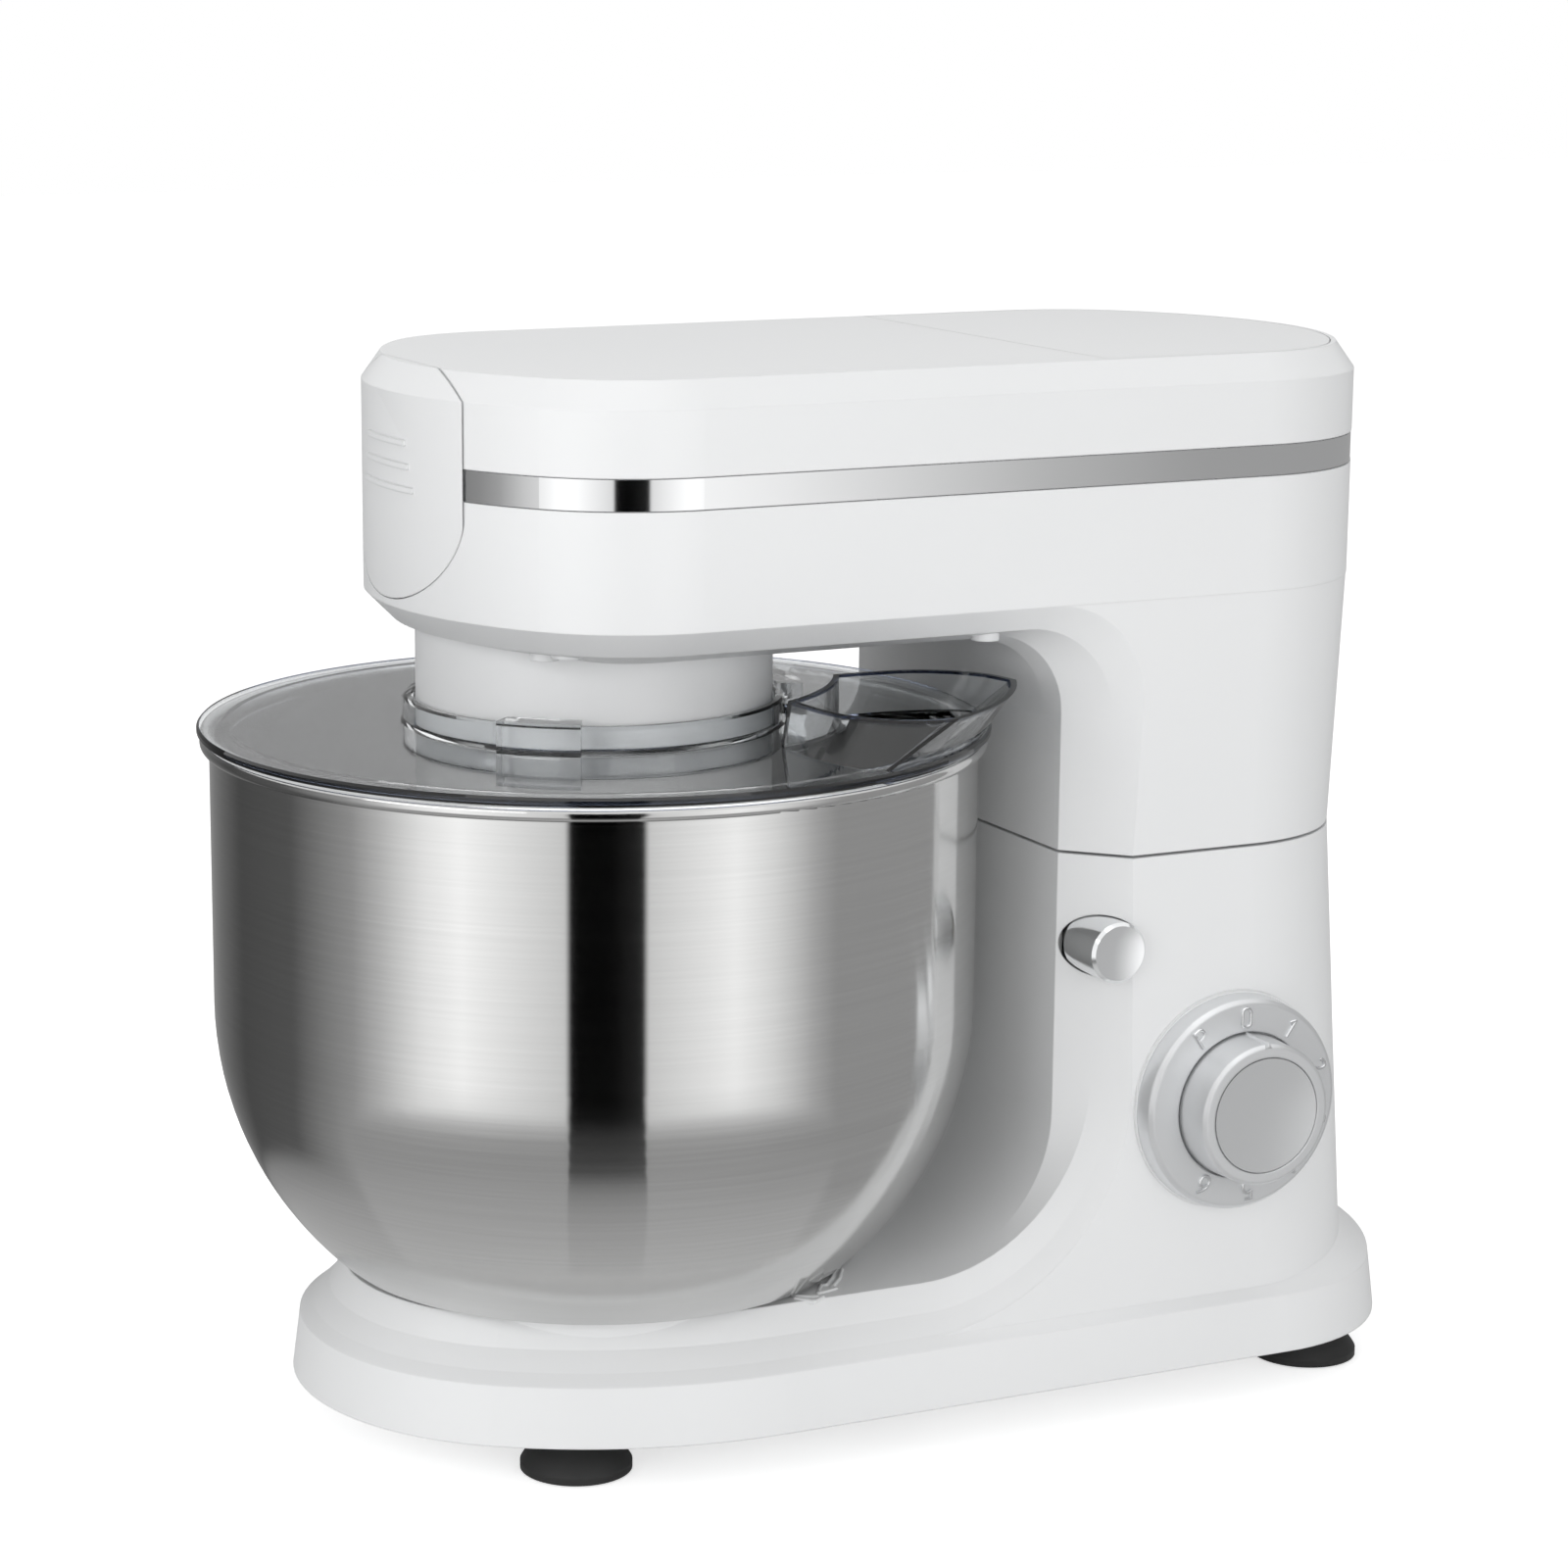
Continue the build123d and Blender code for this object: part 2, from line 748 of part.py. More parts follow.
post_places = [
    (x, side * y)
    for x, y in ((bowl_x - post_front_ahead, post_front_y), (bowl_x + post_rear_behind, post_rear_y))
    for side in (-1, 1)
]
plug_places = [
    (x, side * y)
    for x, y in ((bowl_x - plug_ahead, plug_front_y), (column_front - plug_rear_ahead, plug_rear_y))
    for side in (-1, 1)
]
plug_low = head_under + plug_sink
plug_high = plug_low + plug_height

# Head housing: nose, belly and tilting column in one moulded shell
with BuildPart() as head_housing:
    add(head_outside)
    add(head_inside.part, mode=Mode.SUBTRACT)
    add(block(-far, far, -far, far, part_line, far), mode=Mode.SUBTRACT)
    add(strip_groove.part, mode=Mode.SUBTRACT)
    add(cap_block(0.0), mode=Mode.SUBTRACT)
    add(clip_slots.part, mode=Mode.SUBTRACT)
    add(rear_sweep.part, mode=Mode.SUBTRACT)
    for x, y in post_places:
        add(disc(x, y, head_under + wall + fit_gap, plate_low, post_radius))
    add(disc(bowl_x, 0, 0, plate_low, neck_radius + fit_gap), mode=Mode.SUBTRACT)
    for x, y in plug_places:
        add(disc(x, y, 0, plug_high + fit_gap, plug_radius + fit_gap), mode=Mode.SUBTRACT)
head_housing.part.label = "head_housing"
export_step(head_housing.part, "parts/head_housing.step")

# Top cover with a shallow seat for the rear outlet cover
with BuildPart(mode=Mode.PRIVATE) as hatch_seat:
    extrude(head_plan(head_top - hatch_thickness, hatch_in), amount=hatch_thickness + lap)
    add(block(-far, hatch_front, -far, far, 0, far), mode=Mode.SUBTRACT)
with BuildPart() as head_top_cover:
    add(head_outside)
    add(head_inside.part, mode=Mode.SUBTRACT)
    add(block(-far, far, -far, far, 0, part_line), mode=Mode.SUBTRACT)
    add(strip_groove.part, mode=Mode.SUBTRACT)
    add(cap_block(0.0), mode=Mode.SUBTRACT)
    add(clip_slots.part, mode=Mode.SUBTRACT)
    add(hatch_seat.part, mode=Mode.SUBTRACT)
head_top_cover.part.label = "head_top_cover"
export_step(head_top_cover.part, "parts/head_top_cover.step")

with BuildPart() as outlet_cover:
    extrude(head_plan(head_top - hatch_thickness, hatch_in + fit_gap), amount=hatch_thickness)
    add(block(-far, hatch_front + fit_gap, -far, far, 0, far), mode=Mode.SUBTRACT)
outlet_cover.part.label = "outlet_cover"
export_step(outlet_cover.part, "parts/outlet_cover.step")

# Bright strip in the groove between housing and cover
with BuildPart() as chrome_strip:
    strip_outer = head_plan(strip_low + fit_gap, strip_depth - strip_thickness)
    extrude(strip_outer, amount=strip_height - 2 * fit_gap)
    strip_inner = head_plan(strip_low, strip_depth - strip_seat)
    extrude(strip_inner, amount=strip_height, mode=Mode.SUBTRACT)
    add(block(-far, cap_seam_x + fit_gap, -far, far, 0, far), mode=Mode.SUBTRACT)
chrome_strip.part.label = "chrome_strip"
export_step(chrome_strip.part, "parts/chrome_strip.step")

# Front cap with three grip ribs and four clips
with BuildPart() as front_cap:
    add(head_outside)
    add(cap_block(fit_gap), mode=Mode.INTERSECT)
    add(head_body(cap_wall), mode=Mode.SUBTRACT)
    for row, length in enumerate(cap_rib_lengths):
        add(grip_rib(head_top - cap_rib_drop - row * cap_rib_pitch, length))
    for level in clip_levels:
        for side in (-1, 1):
            middle = side * clip_spread
            nose_x = head_front + clip_spread**2 / (2 * head_end_crown) + cap_wall / 2
            tail_x = cap_seam_x + wall + clip_hold
            half = clip_width / 2
            deep = clip_thickness / 2
            add(block(nose_x, tail_x, middle - half, middle + half, level - deep, level + deep))
front_cap.part.label = "front_cap"
export_step(front_cap.part, "parts/front_cap.step")

with BuildPart() as screw_plugs:
    for x, y in plug_places:
        add(disc(x, y, plug_low, plug_high, plug_radius))
screw_plugs.part.label = "screw_plugs"
export_step(screw_plugs.part, "parts/screw_plugs.step")

# Neck drum with the lower bearing's web, closed above by the gear plate
neck_bore = neck_radius - neck_wall
with BuildPart() as neck_housing:
    with BuildSketch(bowl_section):
        Polygon(
            (neck_bore, neck_low),
            (neck_radius, neck_low),
            (neck_radius, plate_low),
            (neck_bore, plate_low),
            (neck_bore, neck_web_high),
            (bearing_radius, neck_web_high),
            (bearing_radius, neck_web_low),
            (neck_bore, neck_web_low),
            align=None,
        )
    revolve(axis=bowl_axis)
neck_housing.part.label = "neck_housing"
export_step(neck_housing.part, "parts/neck_housing.step")

with BuildPart() as ring_gear:
    with BuildSketch(Plane((bowl_x, 0, neck_web_low - ring_height))):
        Circle(neck_bore - fit_gap)
        Polygon(*gear_outline(ring_teeth, 180.0 / ring_teeth, True), align=None, mode=Mode.SUBTRACT)
    extrude(amount=ring_height)
ring_gear.part.label = "ring_gear"
export_step(ring_gear.part, "parts/ring_gear.step")

# Gear plate on four posts, with a boss round each upper bearing
with BuildPart() as gear_plate:
    extrude(head_plan(plate_low, plate_in), amount=plate_thickness)
    add(block(bowl_x - plate_ahead, bowl_x + plate_behind, -far, far, 0, far), mode=Mode.INTERSECT)
    for x, radius in ((bowl_x, bearing_radius), (lay_x, lay_bearing_radius)):
        add(disc(x, 0, plate_low, plate_boss_high, radius + boss_wall))
        add(disc(x, 0, 0, far, radius), mode=Mode.SUBTRACT)
gear_plate.part.label = "gear_plate"
export_step(gear_plate.part, "parts/gear_plate.step")

with BuildPart() as gear_plate_screws:
    for x, y in post_places:
        top = plate_low + plate_thickness
        add(disc(x, y, top, top + screw_head_height, screw_head_radius))
gear_plate_screws.part.label = "gear_plate_screws"
export_step(gear_plate_screws.part, "parts/gear_plate_screws.step")

with BuildPart() as carrier_bearings:
    for high in (neck_web_high, plate_boss_high):
        add(disc(bowl_x, 0, high - bearing_height, high, bearing_radius - press_gap, shaft_radius + running_fit))
carrier_bearings.part.label = "carrier_bearings"
export_step(carrier_bearings.part, "parts/carrier_bearings.step")

with BuildPart() as lay_bearing:
    low = plate_boss_high - bearing_height
    add(disc(lay_x, 0, low, plate_boss_high, lay_bearing_radius - press_gap, lay_shaft_radius + running_fit))
lay_bearing.part.label = "lay_bearing"
export_step(lay_bearing.part, "parts/lay_bearing.step")

# Planet carrier: the steel cap under the neck
with BuildPart() as planet_carrier:
    edge = carrier_high - carrier_low - neck_wall
    with BuildSketch(bowl_section):
        with BuildLine():
            floor = Line((0, carrier_low), (carrier_radius - edge, carrier_low))
            turn = TangentArc(floor @ 1, (carrier_radius, carrier_low + edge), tangent=floor % 1)
            rim = Line(turn @ 1, (carrier_radius, carrier_high))
            Polyline(
                rim @ 1,
                (carrier_hub_radius, carrier_high),
                (carrier_hub_radius, carrier_hub_high),
                (0, carrier_hub_high),
                (0, carrier_low),
            )
        make_face()
    revolve(axis=bowl_axis)
    add(disc(tool_x, 0, carrier_high, carrier_hub_high, shaft_radius + 2 * bush_wall))
    add(disc(tool_x, 0, 0, far, shaft_radius + bush_wall + press_gap), mode=Mode.SUBTRACT)
    add(disc(bowl_x, 0, carrier_low + carrier_shaft_seat, far, shaft_radius + press_gap), mode=Mode.SUBTRACT)
planet_carrier.part.label = "planet_carrier"
export_step(planet_carrier.part, "parts/planet_carrier.step")

with BuildPart() as carrier_shaft:
    high = drive_gear_low + gear_height + shaft_end
    add(disc(bowl_x, 0, carrier_low + carrier_shaft_seat, high, shaft_radius))
carrier_shaft.part.label = "carrier_shaft"
export_step(carrier_shaft.part, "parts/carrier_shaft.step")

with BuildPart() as drive_gear:
    add(gear(bowl_x, drive_gear_low, drive_gear_low + gear_height, drive_teeth, 0.0, shaft_radius + press_gap))
drive_gear.part.label = "drive_gear"
export_step(drive_gear.part, "parts/drive_gear.step")

# Planet gear, tool shaft and its cross pin
with BuildPart() as tool_bush:
    add(disc(tool_x, 0, carrier_low, carrier_hub_high, shaft_radius + bush_wall, shaft_radius + running_fit))
tool_bush.part.label = "tool_bush"
export_step(tool_bush.part, "parts/tool_bush.step")

with BuildPart() as planet_gear:
    add(gear(tool_x, planet_low, planet_low + planet_height, planet_teeth, 0.0, shaft_radius + press_gap))
planet_gear.part.label = "planet_gear"
export_step(planet_gear.part, "parts/planet_gear.step")

with BuildPart() as tool_shaft:
    add(disc(tool_x, 0, tool_shaft_low, planet_low + planet_height, shaft_radius))
    add(
        side_rod(tool_x, tool_pin_level, -far, far, tool_pin_radius + press_gap),
        mode=Mode.SUBTRACT,
    )
tool_shaft.part.label = "tool_shaft"
export_step(tool_shaft.part, "parts/tool_shaft.step")

with BuildPart() as tool_pin:
    add(side_rod(tool_x, tool_pin_level, -tool_pin_half, tool_pin_half, tool_pin_radius))
tool_pin.part.label = "tool_pin"
export_step(tool_pin.part, "parts/tool_pin.step")

# Dough hook: slotted hub on the tool shaft and a round rod bent to a hook
with BuildPart() as dough_hook:
    add(disc(tool_x, 0, hook_hub_low, carrier_low - hook_hub_clear, hook_hub_radius))
    add(disc(tool_x, 0, tool_shaft_low - hook_bore_end, far, shaft_radius + fit_gap), mode=Mode.SUBTRACT)
    slot = tool_pin_radius + fit_gap
    add(block(tool_x - slot, tool_x + slot, -far, far, tool_pin_level - slot, far), mode=Mode.SUBTRACT)
    with BuildLine(Plane(origin=(tool_x, 0, 0), x_dir=(1, 0, 0), z_dir=(0, -1, 0))) as rod_path:
        drop = Line((0, hook_hub_low + lap), (0, hook_hub_low - hook_neck))
        bend = TangentArc(drop @ 1, (hook_bend, hook_shelf_z), tangent=drop % 1)
        shelf = Line((hook_bend, hook_shelf_z), (hook_bend + hook_shelf, hook_shelf_z))
        bow = CenterArc((hook_bend + hook_shelf, hook_shelf_z - hook_round), hook_round, 90, -180)
        Line(bow @ 1, (hook_bend + hook_shelf - hook_tip, hook_shelf_z - 2 * hook_round))
    with BuildSketch(Plane.XY.offset(hook_hub_low + lap)):
        with Locations((tool_x, 0)):
            Circle(hook_rod_radius)
    sweep(path=rod_path.line)
dough_hook.part.label = "dough_hook"
export_step(dough_hook.part, "parts/dough_hook.step")

# Layshaft with its pinion and the large pulley
with BuildPart() as lay_shaft:
    add(disc(lay_x, 0, plate_low + lap, pulley_low + pulley_height + shaft_end, lay_shaft_radius))
lay_shaft.part.label = "lay_shaft"
export_step(lay_shaft.part, "parts/lay_shaft.step")

with BuildPart() as lay_pinion:
    add(gear(lay_x, drive_gear_low, drive_gear_low + gear_height, pinion_teeth, 0.0, lay_shaft_radius + press_gap))
lay_pinion.part.label = "lay_pinion"
export_step(lay_pinion.part, "parts/lay_pinion.step")


def pulley(x, radius, bore):
    """Flat pulley with a low flange above and below the belt."""
    edge = (pulley_height - belt_width) / 2 - belt_gap
    with BuildPart(mode=Mode.PRIVATE) as wheel:
        add(disc(x, 0, pulley_low, pulley_low + pulley_height, radius))
        for low in (pulley_low, pulley_low + pulley_height - edge):
            add(disc(x, 0, low, low + edge, radius + pulley_flange))
        add(disc(x, 0, 0, far, bore), mode=Mode.SUBTRACT)
    return wheel.part


with BuildPart() as large_pulley:
    add(pulley(lay_x, large_pulley_radius, lay_shaft_radius + press_gap))
large_pulley.part.label = "large_pulley"
export_step(large_pulley.part, "parts/large_pulley.step")

with BuildPart() as motor_pulley:
    add(pulley(motor_x, motor_pulley_radius, motor_shaft_radius + press_gap))
motor_pulley.part.label = "motor_pulley"
export_step(motor_pulley.part, "parts/motor_pulley.step")

with BuildPart() as drive_belt:
    belt_low = pulley_low + (pulley_height - belt_width) / 2
    for extra, mode in ((belt_gap + belt_thickness, Mode.ADD), (belt_gap, Mode.SUBTRACT)):
        with BuildSketch(Plane.XY.offset(belt_low)):
            with Locations((lay_x, 0)):
                Circle(large_pulley_radius + extra)
            with Locations((motor_x, 0)):
                Circle(motor_pulley_radius + extra)
            make_hull()
        extrude(amount=belt_width, mode=mode)
drive_belt.part.label = "drive_belt"
export_step(drive_belt.part, "parts/drive_belt.step")

# Motor: laminated stator, armature on its shaft, fan, and a frame that stands on the hinge plate
with BuildPart() as motor_stator:
    half = stator_side / 2
    add(block(motor_x - half, motor_x + half, -half, half, stator_low, stator_low + stator_height))
    fillet(motor_stator.edges().filter_by(Axis.Z), motor_post)
    add(disc(motor_x, 0, 0, far, stator_bore), mode=Mode.SUBTRACT)
motor_stator.part.label = "motor_stator"
export_step(motor_stator.part, "parts/motor_stator.step")

with BuildPart() as motor_armature:
    add(disc(motor_x, 0, plate_top + fit_gap, pulley_low + pulley_height + motor_shaft_end, motor_shaft_radius))
    add(disc(motor_x, 0, stator_low, stator_low + stator_height, armature_radius))
    add(disc(motor_x, 0, commutator_low, commutator_low + commutator_height, commutator_radius))
motor_armature.part.label = "motor_armature"
export_step(motor_armature.part, "parts/motor_armature.step")

with BuildPart() as motor_fan:
    add(disc(motor_x, 0, fan_low, fan_low + fan_disc, fan_radius))
    add(disc(motor_x, 0, fan_low, fan_low + fan_height, motor_shaft_radius + bush_wall))
    for blade in range(fan_blades):
        with BuildSketch(Plane((motor_x, 0, fan_low)).rotated((0, 0, blade * 360.0 / fan_blades))):
            with Locations((fan_blade_middle, 0)):
                Rectangle(fan_blade, fan_blade_thickness)
        extrude(amount=fan_height)
    add(disc(motor_x, 0, 0, far, motor_shaft_radius + press_gap), mode=Mode.SUBTRACT)
motor_fan.part.label = "motor_fan"
export_step(motor_fan.part, "parts/motor_fan.step")

with BuildPart() as motor_frame:
    reach = stator_side / 2 + motor_post
    half = motor_bar_width / 2
    add(block(motor_x - half, motor_x + half, -reach, reach, plate_top, plate_top + motor_bar_height))
    for side in (-1, 1):
        y0, y1 = sorted((side * stator_side / 2, side * reach))
        add(block(motor_x - half, motor_x + half, y0, y1, plate_top, motor_top_bar))
    add(disc(motor_x, 0, 0, far, bush_radius), mode=Mode.SUBTRACT)
motor_frame.part.label = "motor_frame"
export_step(motor_frame.part, "parts/motor_frame.step")

with BuildPart() as motor_bridge:
    top = motor_top_bar + motor_bar_height
    add(block(motor_x - half, motor_x + half, -reach, reach, motor_top_bar, top))
    add(disc(motor_x, 0, 0, far, bush_radius), mode=Mode.SUBTRACT)
motor_bridge.part.label = "motor_bridge"
export_step(motor_bridge.part, "parts/motor_bridge.step")

with BuildPart() as motor_bushes:
    for low in (plate_top, motor_top_bar):
        add(disc(motor_x, 0, low, low + motor_bar_height, bush_radius - press_gap, motor_shaft_radius + running_fit))
motor_bushes.part.label = "motor_bushes"
export_step(motor_bushes.part, "parts/motor_bushes.step")

# Hinge plate: floor of the tilting column with two lugs and the latch tongue
lug_inner = hinge_post_half + fit_gap
opening_half = hinge_foot_half + hinge_opening_play
with BuildPart() as hinge_plate:
    add(head_body(wall + fit_gap))
    add(block(-far, far, -far, far, plate_bottom, plate_top), mode=Mode.INTERSECT)
    add(
        block(hinge_foot_front - hinge_opening_play, far, -opening_half, opening_half, 0, far),
        mode=Mode.SUBTRACT,
    )
    for side in (-1, 1):
        y0, y1 = sorted((side * lug_inner, side * (lug_inner + hinge_lug)))
        add(side_rod(hinge_x, hinge_z, y0, y1, hinge_eye_radius))
        add(block(hinge_x - hinge_eye_radius, hinge_x + hinge_eye_radius, y0, y1, plate_bottom, hinge_z))
        y0, y1 = sorted((side * lug_inner, side * (opening_half + hinge_lug)))
        add(block(hinge_x - hinge_eye_radius, hinge_x - hinge_pin_radius / 2, y0, y1, plate_bottom, plate_top))
    add(side_rod(hinge_x, hinge_z, -far, far, hinge_pin_radius + press_gap), mode=Mode.SUBTRACT)
    add(rear_sweep.part, mode=Mode.SUBTRACT)
    half = tongue_thickness / 2
    add(
        block(
            tongue_x - half,
            tongue_x + half,
            tongue_y - tongue_width / 2,
            tongue_y + tongue_width / 2,
            tongue_low,
            plate_bottom,
        )
    )
hinge_plate.part.label = "hinge_plate"
export_step(hinge_plate.part, "parts/hinge_plate.step")

# Hinge post on the fixed column, leaning back to the pin
with BuildPart() as hinge_post:
    with BuildSketch(Plane.XZ.offset(-hinge_post_half)):
        foot_top = split_low + hinge_foot_height
        with Locations((hinge_x, hinge_z)):
            Circle(hinge_eye_radius)
        with Locations(((hinge_foot_front + hinge_foot_rear) / 2, foot_top - lap)):
            Rectangle(hinge_foot_length - 2 * hinge_foot_shoulder, 2 * lap)
        make_hull()
        with Locations((hinge_x, hinge_z)):
            Circle(hinge_pin_radius + running_fit, mode=Mode.SUBTRACT)
    extrude(amount=2 * hinge_post_half)
    add(
        block(hinge_foot_front, hinge_foot_rear, -hinge_foot_half, hinge_foot_half, split_low, foot_top),
    )
hinge_post.part.label = "hinge_post"
export_step(hinge_post.part, "parts/hinge_post.step")

with BuildPart() as hinge_pin:
    reach = lug_inner + hinge_lug
    add(side_rod(hinge_x, hinge_z, -reach, reach, hinge_pin_radius))
hinge_pin.part.label = "hinge_pin"
export_step(hinge_pin.part, "parts/hinge_pin.step")

# Bowl with a rolled rim, and a foot ring with three lugs
lug_angles = [middle * 360.0 / lug_count for middle in range(lug_count)]
turn_r = bowl_radius - bowl_round
inner_round = bowl_round - bowl_wall
under_r = turn_r + sqrt(bowl_round**2 - (bowl_straight_low - bowl_under) ** 2)
floor_r = turn_r + sqrt(inner_round**2 - (bowl_straight_low - bowl_floor) ** 2)
with BuildPart() as bowl:
    with BuildSketch(bowl_section):
        with BuildLine():
            outside = Line((bowl_radius, bowl_rim_level), (bowl_radius, bowl_straight_low))
            belly = TangentArc(outside @ 1, (under_r, bowl_under), tangent=(0, -1))
            Polyline(
                (under_r, bowl_under),
                (bowl_foot_radius, bowl_under),
                (bowl_foot_radius, bowl_foot_low),
                (bowl_foot_radius - bowl_foot_wall, bowl_foot_low),
                (bowl_foot_radius - bowl_foot_wall, bowl_under),
                (0, bowl_under),
                (0, bowl_floor),
                (floor_r, bowl_floor),
            )
            inside = Line((bowl_radius - bowl_wall, bowl_straight_low), (bowl_radius - bowl_wall, bowl_rim_level))
            TangentArc(inside @ 0, (floor_r, bowl_floor), tangent=(0, -1))
            Line(inside @ 1, outside @ 0)
        make_face()
        with Locations((bowl_radius + bowl_bead_out, bowl_rim_level)):
            Circle(bowl_bead_radius)
    revolve(axis=bowl_axis)
    for middle in lug_angles:
        low = bowl_foot_low + fit_gap
        reach = bowl_foot_radius + lug_reach
        add(ring_sector(low, low + lug_height, bowl_foot_radius - bowl_foot_wall / 2, reach, middle, lug_span))
bowl.part.label = "bowl"
export_step(bowl.part, "parts/bowl.step")

# Lock ring in the seat, with three lips over the bowl's lugs
lip_low = bowl_foot_low + lug_height + 2 * fit_gap
with BuildPart() as bowl_lock:
    add(disc(bowl_x, 0, bowl_foot_low, seat_top - fit_gap, lock_inner + lock_wall, lock_inner))
    for middle in lug_angles:
        inner = lock_inner - lip_reach
        add(ring_sector(lip_low, lip_low + lip_height, inner, lock_inner + lock_wall / 2, middle, lip_span))
bowl_lock.part.label = "bowl_lock"
export_step(bowl_lock.part, "parts/bowl_lock.step")


def chute_plan(z, far_reach, inset):
    """Outline of the filling chute at one level, wider than deep, with a bowed outer side."""
    with BuildSketch(Plane((bowl_x, 0, z)).rotated((0, 0, chute_angle)), mode=Mode.PRIVATE) as outline:
        with BuildLine():
            Polyline(
                (far_reach, chute_far_half),
                (chute_mid, chute_mid_half),
                (chute_near, chute_near_half),
                (chute_near, -chute_near_half),
                (chute_mid, -chute_mid_half),
                (far_reach, -chute_far_half),
            )
            ThreePointArc(
                (far_reach, -chute_far_half),
                (far_reach + chute_far_bow, 0),
                (far_reach, chute_far_half),
            )
        make_face()
        if inset:
            offset(amount=-inset, mode=Mode.REPLACE)
    return outline.sketch


# Clear splash guard with its collar, three grip tabs and the filling chute
collar_top = guard_top + collar_height
skirt_low = guard_low - skirt_depth
chute_rim = guard_top + chute_height
with BuildPart() as splash_guard:
    with BuildSketch(bowl_section):
        Polygon(
            (collar_inner, guard_under),
            (collar_inner, collar_top),
            (collar_radius, collar_top),
            (collar_radius, guard_top),
            (guard_radius, guard_top),
            (guard_radius, guard_low),
            (skirt_radius, guard_low),
            (skirt_radius, skirt_low),
            (skirt_radius - skirt_wall, skirt_low),
            (skirt_radius - skirt_wall, guard_under),
            align=None,
        )
    revolve(axis=bowl_axis)
    for tab in range(tab_count):
        middle = tab_angle + tab * 360.0 / tab_count
        reach = collar_radius + tab_depth
        add(ring_sector(guard_under, guard_top + tab_height, collar_radius - guard_plate, reach, middle, tab_span))
    for inset, mode in ((0.0, Mode.ADD), (chute_wall, Mode.SUBTRACT)):
        foot = chute_plan(guard_under, guard_radius - chute_base_in, inset)
        mouth = chute_plan(chute_rim, guard_radius - chute_rim_in, inset)
        loft([foot, mouth], ruled=True, mode=mode)
splash_guard.part.label = "splash_guard"
export_step(splash_guard.part, "parts/splash_guard.step")

gland_z = flange_top + gland_rise

# Base housing: foot flange, seat and fixed column in one moulded shell
post_spots = [(x, side * y, top) for x, y, top in base_posts for side in (-1, 1)]
with BuildPart() as base_housing:
    add(base_outside)
    add(side_rod(dial_x, dial_z, dial_pad_y, dial_pad_y + 2 * wall, bezel_radius + dial_pad_edge))
    add(base_inside, mode=Mode.SUBTRACT)
    add(disc(bowl_x, 0, bowl_foot_low - seat_floor, seat_top, seat_radius + seat_wall))
    add(disc(bowl_x, 0, bowl_foot_low, far, seat_radius), mode=Mode.SUBTRACT)
    for x, y, top in post_spots:
        add(disc(x, y, base_plate_top, top, base_post_radius))
        add(disc(x, y, 0, foot_height + screw_length + lap, screw_shank_radius + press_gap), mode=Mode.SUBTRACT)
    hole_end = column_chamfer + button_hole_past - head_half_width
    add(side_rod(button_x, button_z, -far, hole_end, button_radius + button_gap), mode=Mode.SUBTRACT)
    add(side_rod(dial_x, dial_z, -far, 0, switch_neck_radius + fit_gap), mode=Mode.SUBTRACT)
    slot_front = tongue_x - tongue_thickness / 2 - tongue_slot_play
    slot_rear = tongue_x + tongue_thickness / 2 + tongue_play
    slot_half = tongue_width / 2 + tongue_play
    add(
        block(slot_front, slot_rear, tongue_y - slot_half, tongue_y + slot_half, deck_low - lap, far),
        mode=Mode.SUBTRACT,
    )
    for row in range(vent_count):
        low = flange_top + vent_rise + row * vent_pitch
        add(block(hinge_x, far, -vent_width / 2, vent_width / 2, low, low + vent_height), mode=Mode.SUBTRACT)
    with BuildSketch(Plane.YZ.offset(hinge_x)):
        with Locations((0, gland_z)):
            Circle(gland_radius + fit_gap)
    extrude(amount=far, mode=Mode.SUBTRACT)
base_housing.part.label = "base_housing"
export_step(base_housing.part, "parts/base_housing.step")

with BuildPart() as base_plate:
    extrude(base_plan(foot_height, wall + base_plate_gap), amount=base_plate_thickness)
    for x, y, top in post_spots:
        add(disc(x, y, 0, far, screw_shank_radius + fit_gap), mode=Mode.SUBTRACT)
base_plate.part.label = "base_plate"
export_step(base_plate.part, "parts/base_plate.step")

with BuildPart() as base_screws:
    for x, y, top in post_spots:
        add(disc(x, y, foot_height - screw_head_height, foot_height, screw_head_radius))
        add(disc(x, y, foot_height, foot_height + screw_length, screw_shank_radius))
base_screws.part.label = "base_screws"
export_step(base_screws.part, "parts/base_screws.step")

# Four suction feet: rubber cup below, white stem above
foot_spots = {
    "front_left": (bowl_x - foot_ahead, foot_front_in - base_half_width),
    "front_right": (bowl_x - foot_ahead, base_half_width - foot_front_in),
    "rear_left": (base_rear - foot_heel, foot_rear_in - base_half_width),
    "rear_right": (base_rear - foot_heel, base_half_width - foot_rear_in),
}
cup_high = foot_height - foot_stem_height
for spot, (x, y) in foot_spots.items():
    with BuildPart() as suction_cup:
        with BuildSketch(Plane(origin=(x, y, 0), x_dir=(1, 0, 0), z_dir=(0, -1, 0))):
            with BuildLine():
                sole = Line((foot_radius - foot_edge, 0), (foot_radius, 0))
                lip = Line(sole @ 1, (foot_radius, foot_edge))
                flare = RadiusArc(lip @ 1, (foot_stem_radius, cup_high), -foot_radius)
                Polyline(flare @ 1, (0, cup_high), (0, foot_hollow))
                TangentArc((0, foot_hollow), sole @ 0, tangent=(1, 0))
            make_face()
        revolve(axis=Axis((x, y, 0), (0, 0, 1)))
    suction_cup.part.label = f"suction_cup_{spot}"
    export_step(suction_cup.part, f"parts/suction_cup_{spot}.step")

with BuildPart() as foot_stems:
    for x, y in foot_spots.values():
        add(disc(x, y, cup_high, foot_height, foot_stem_radius))
foot_stems.part.label = "foot_stems"
export_step(foot_stems.part, "parts/foot_stems.step")

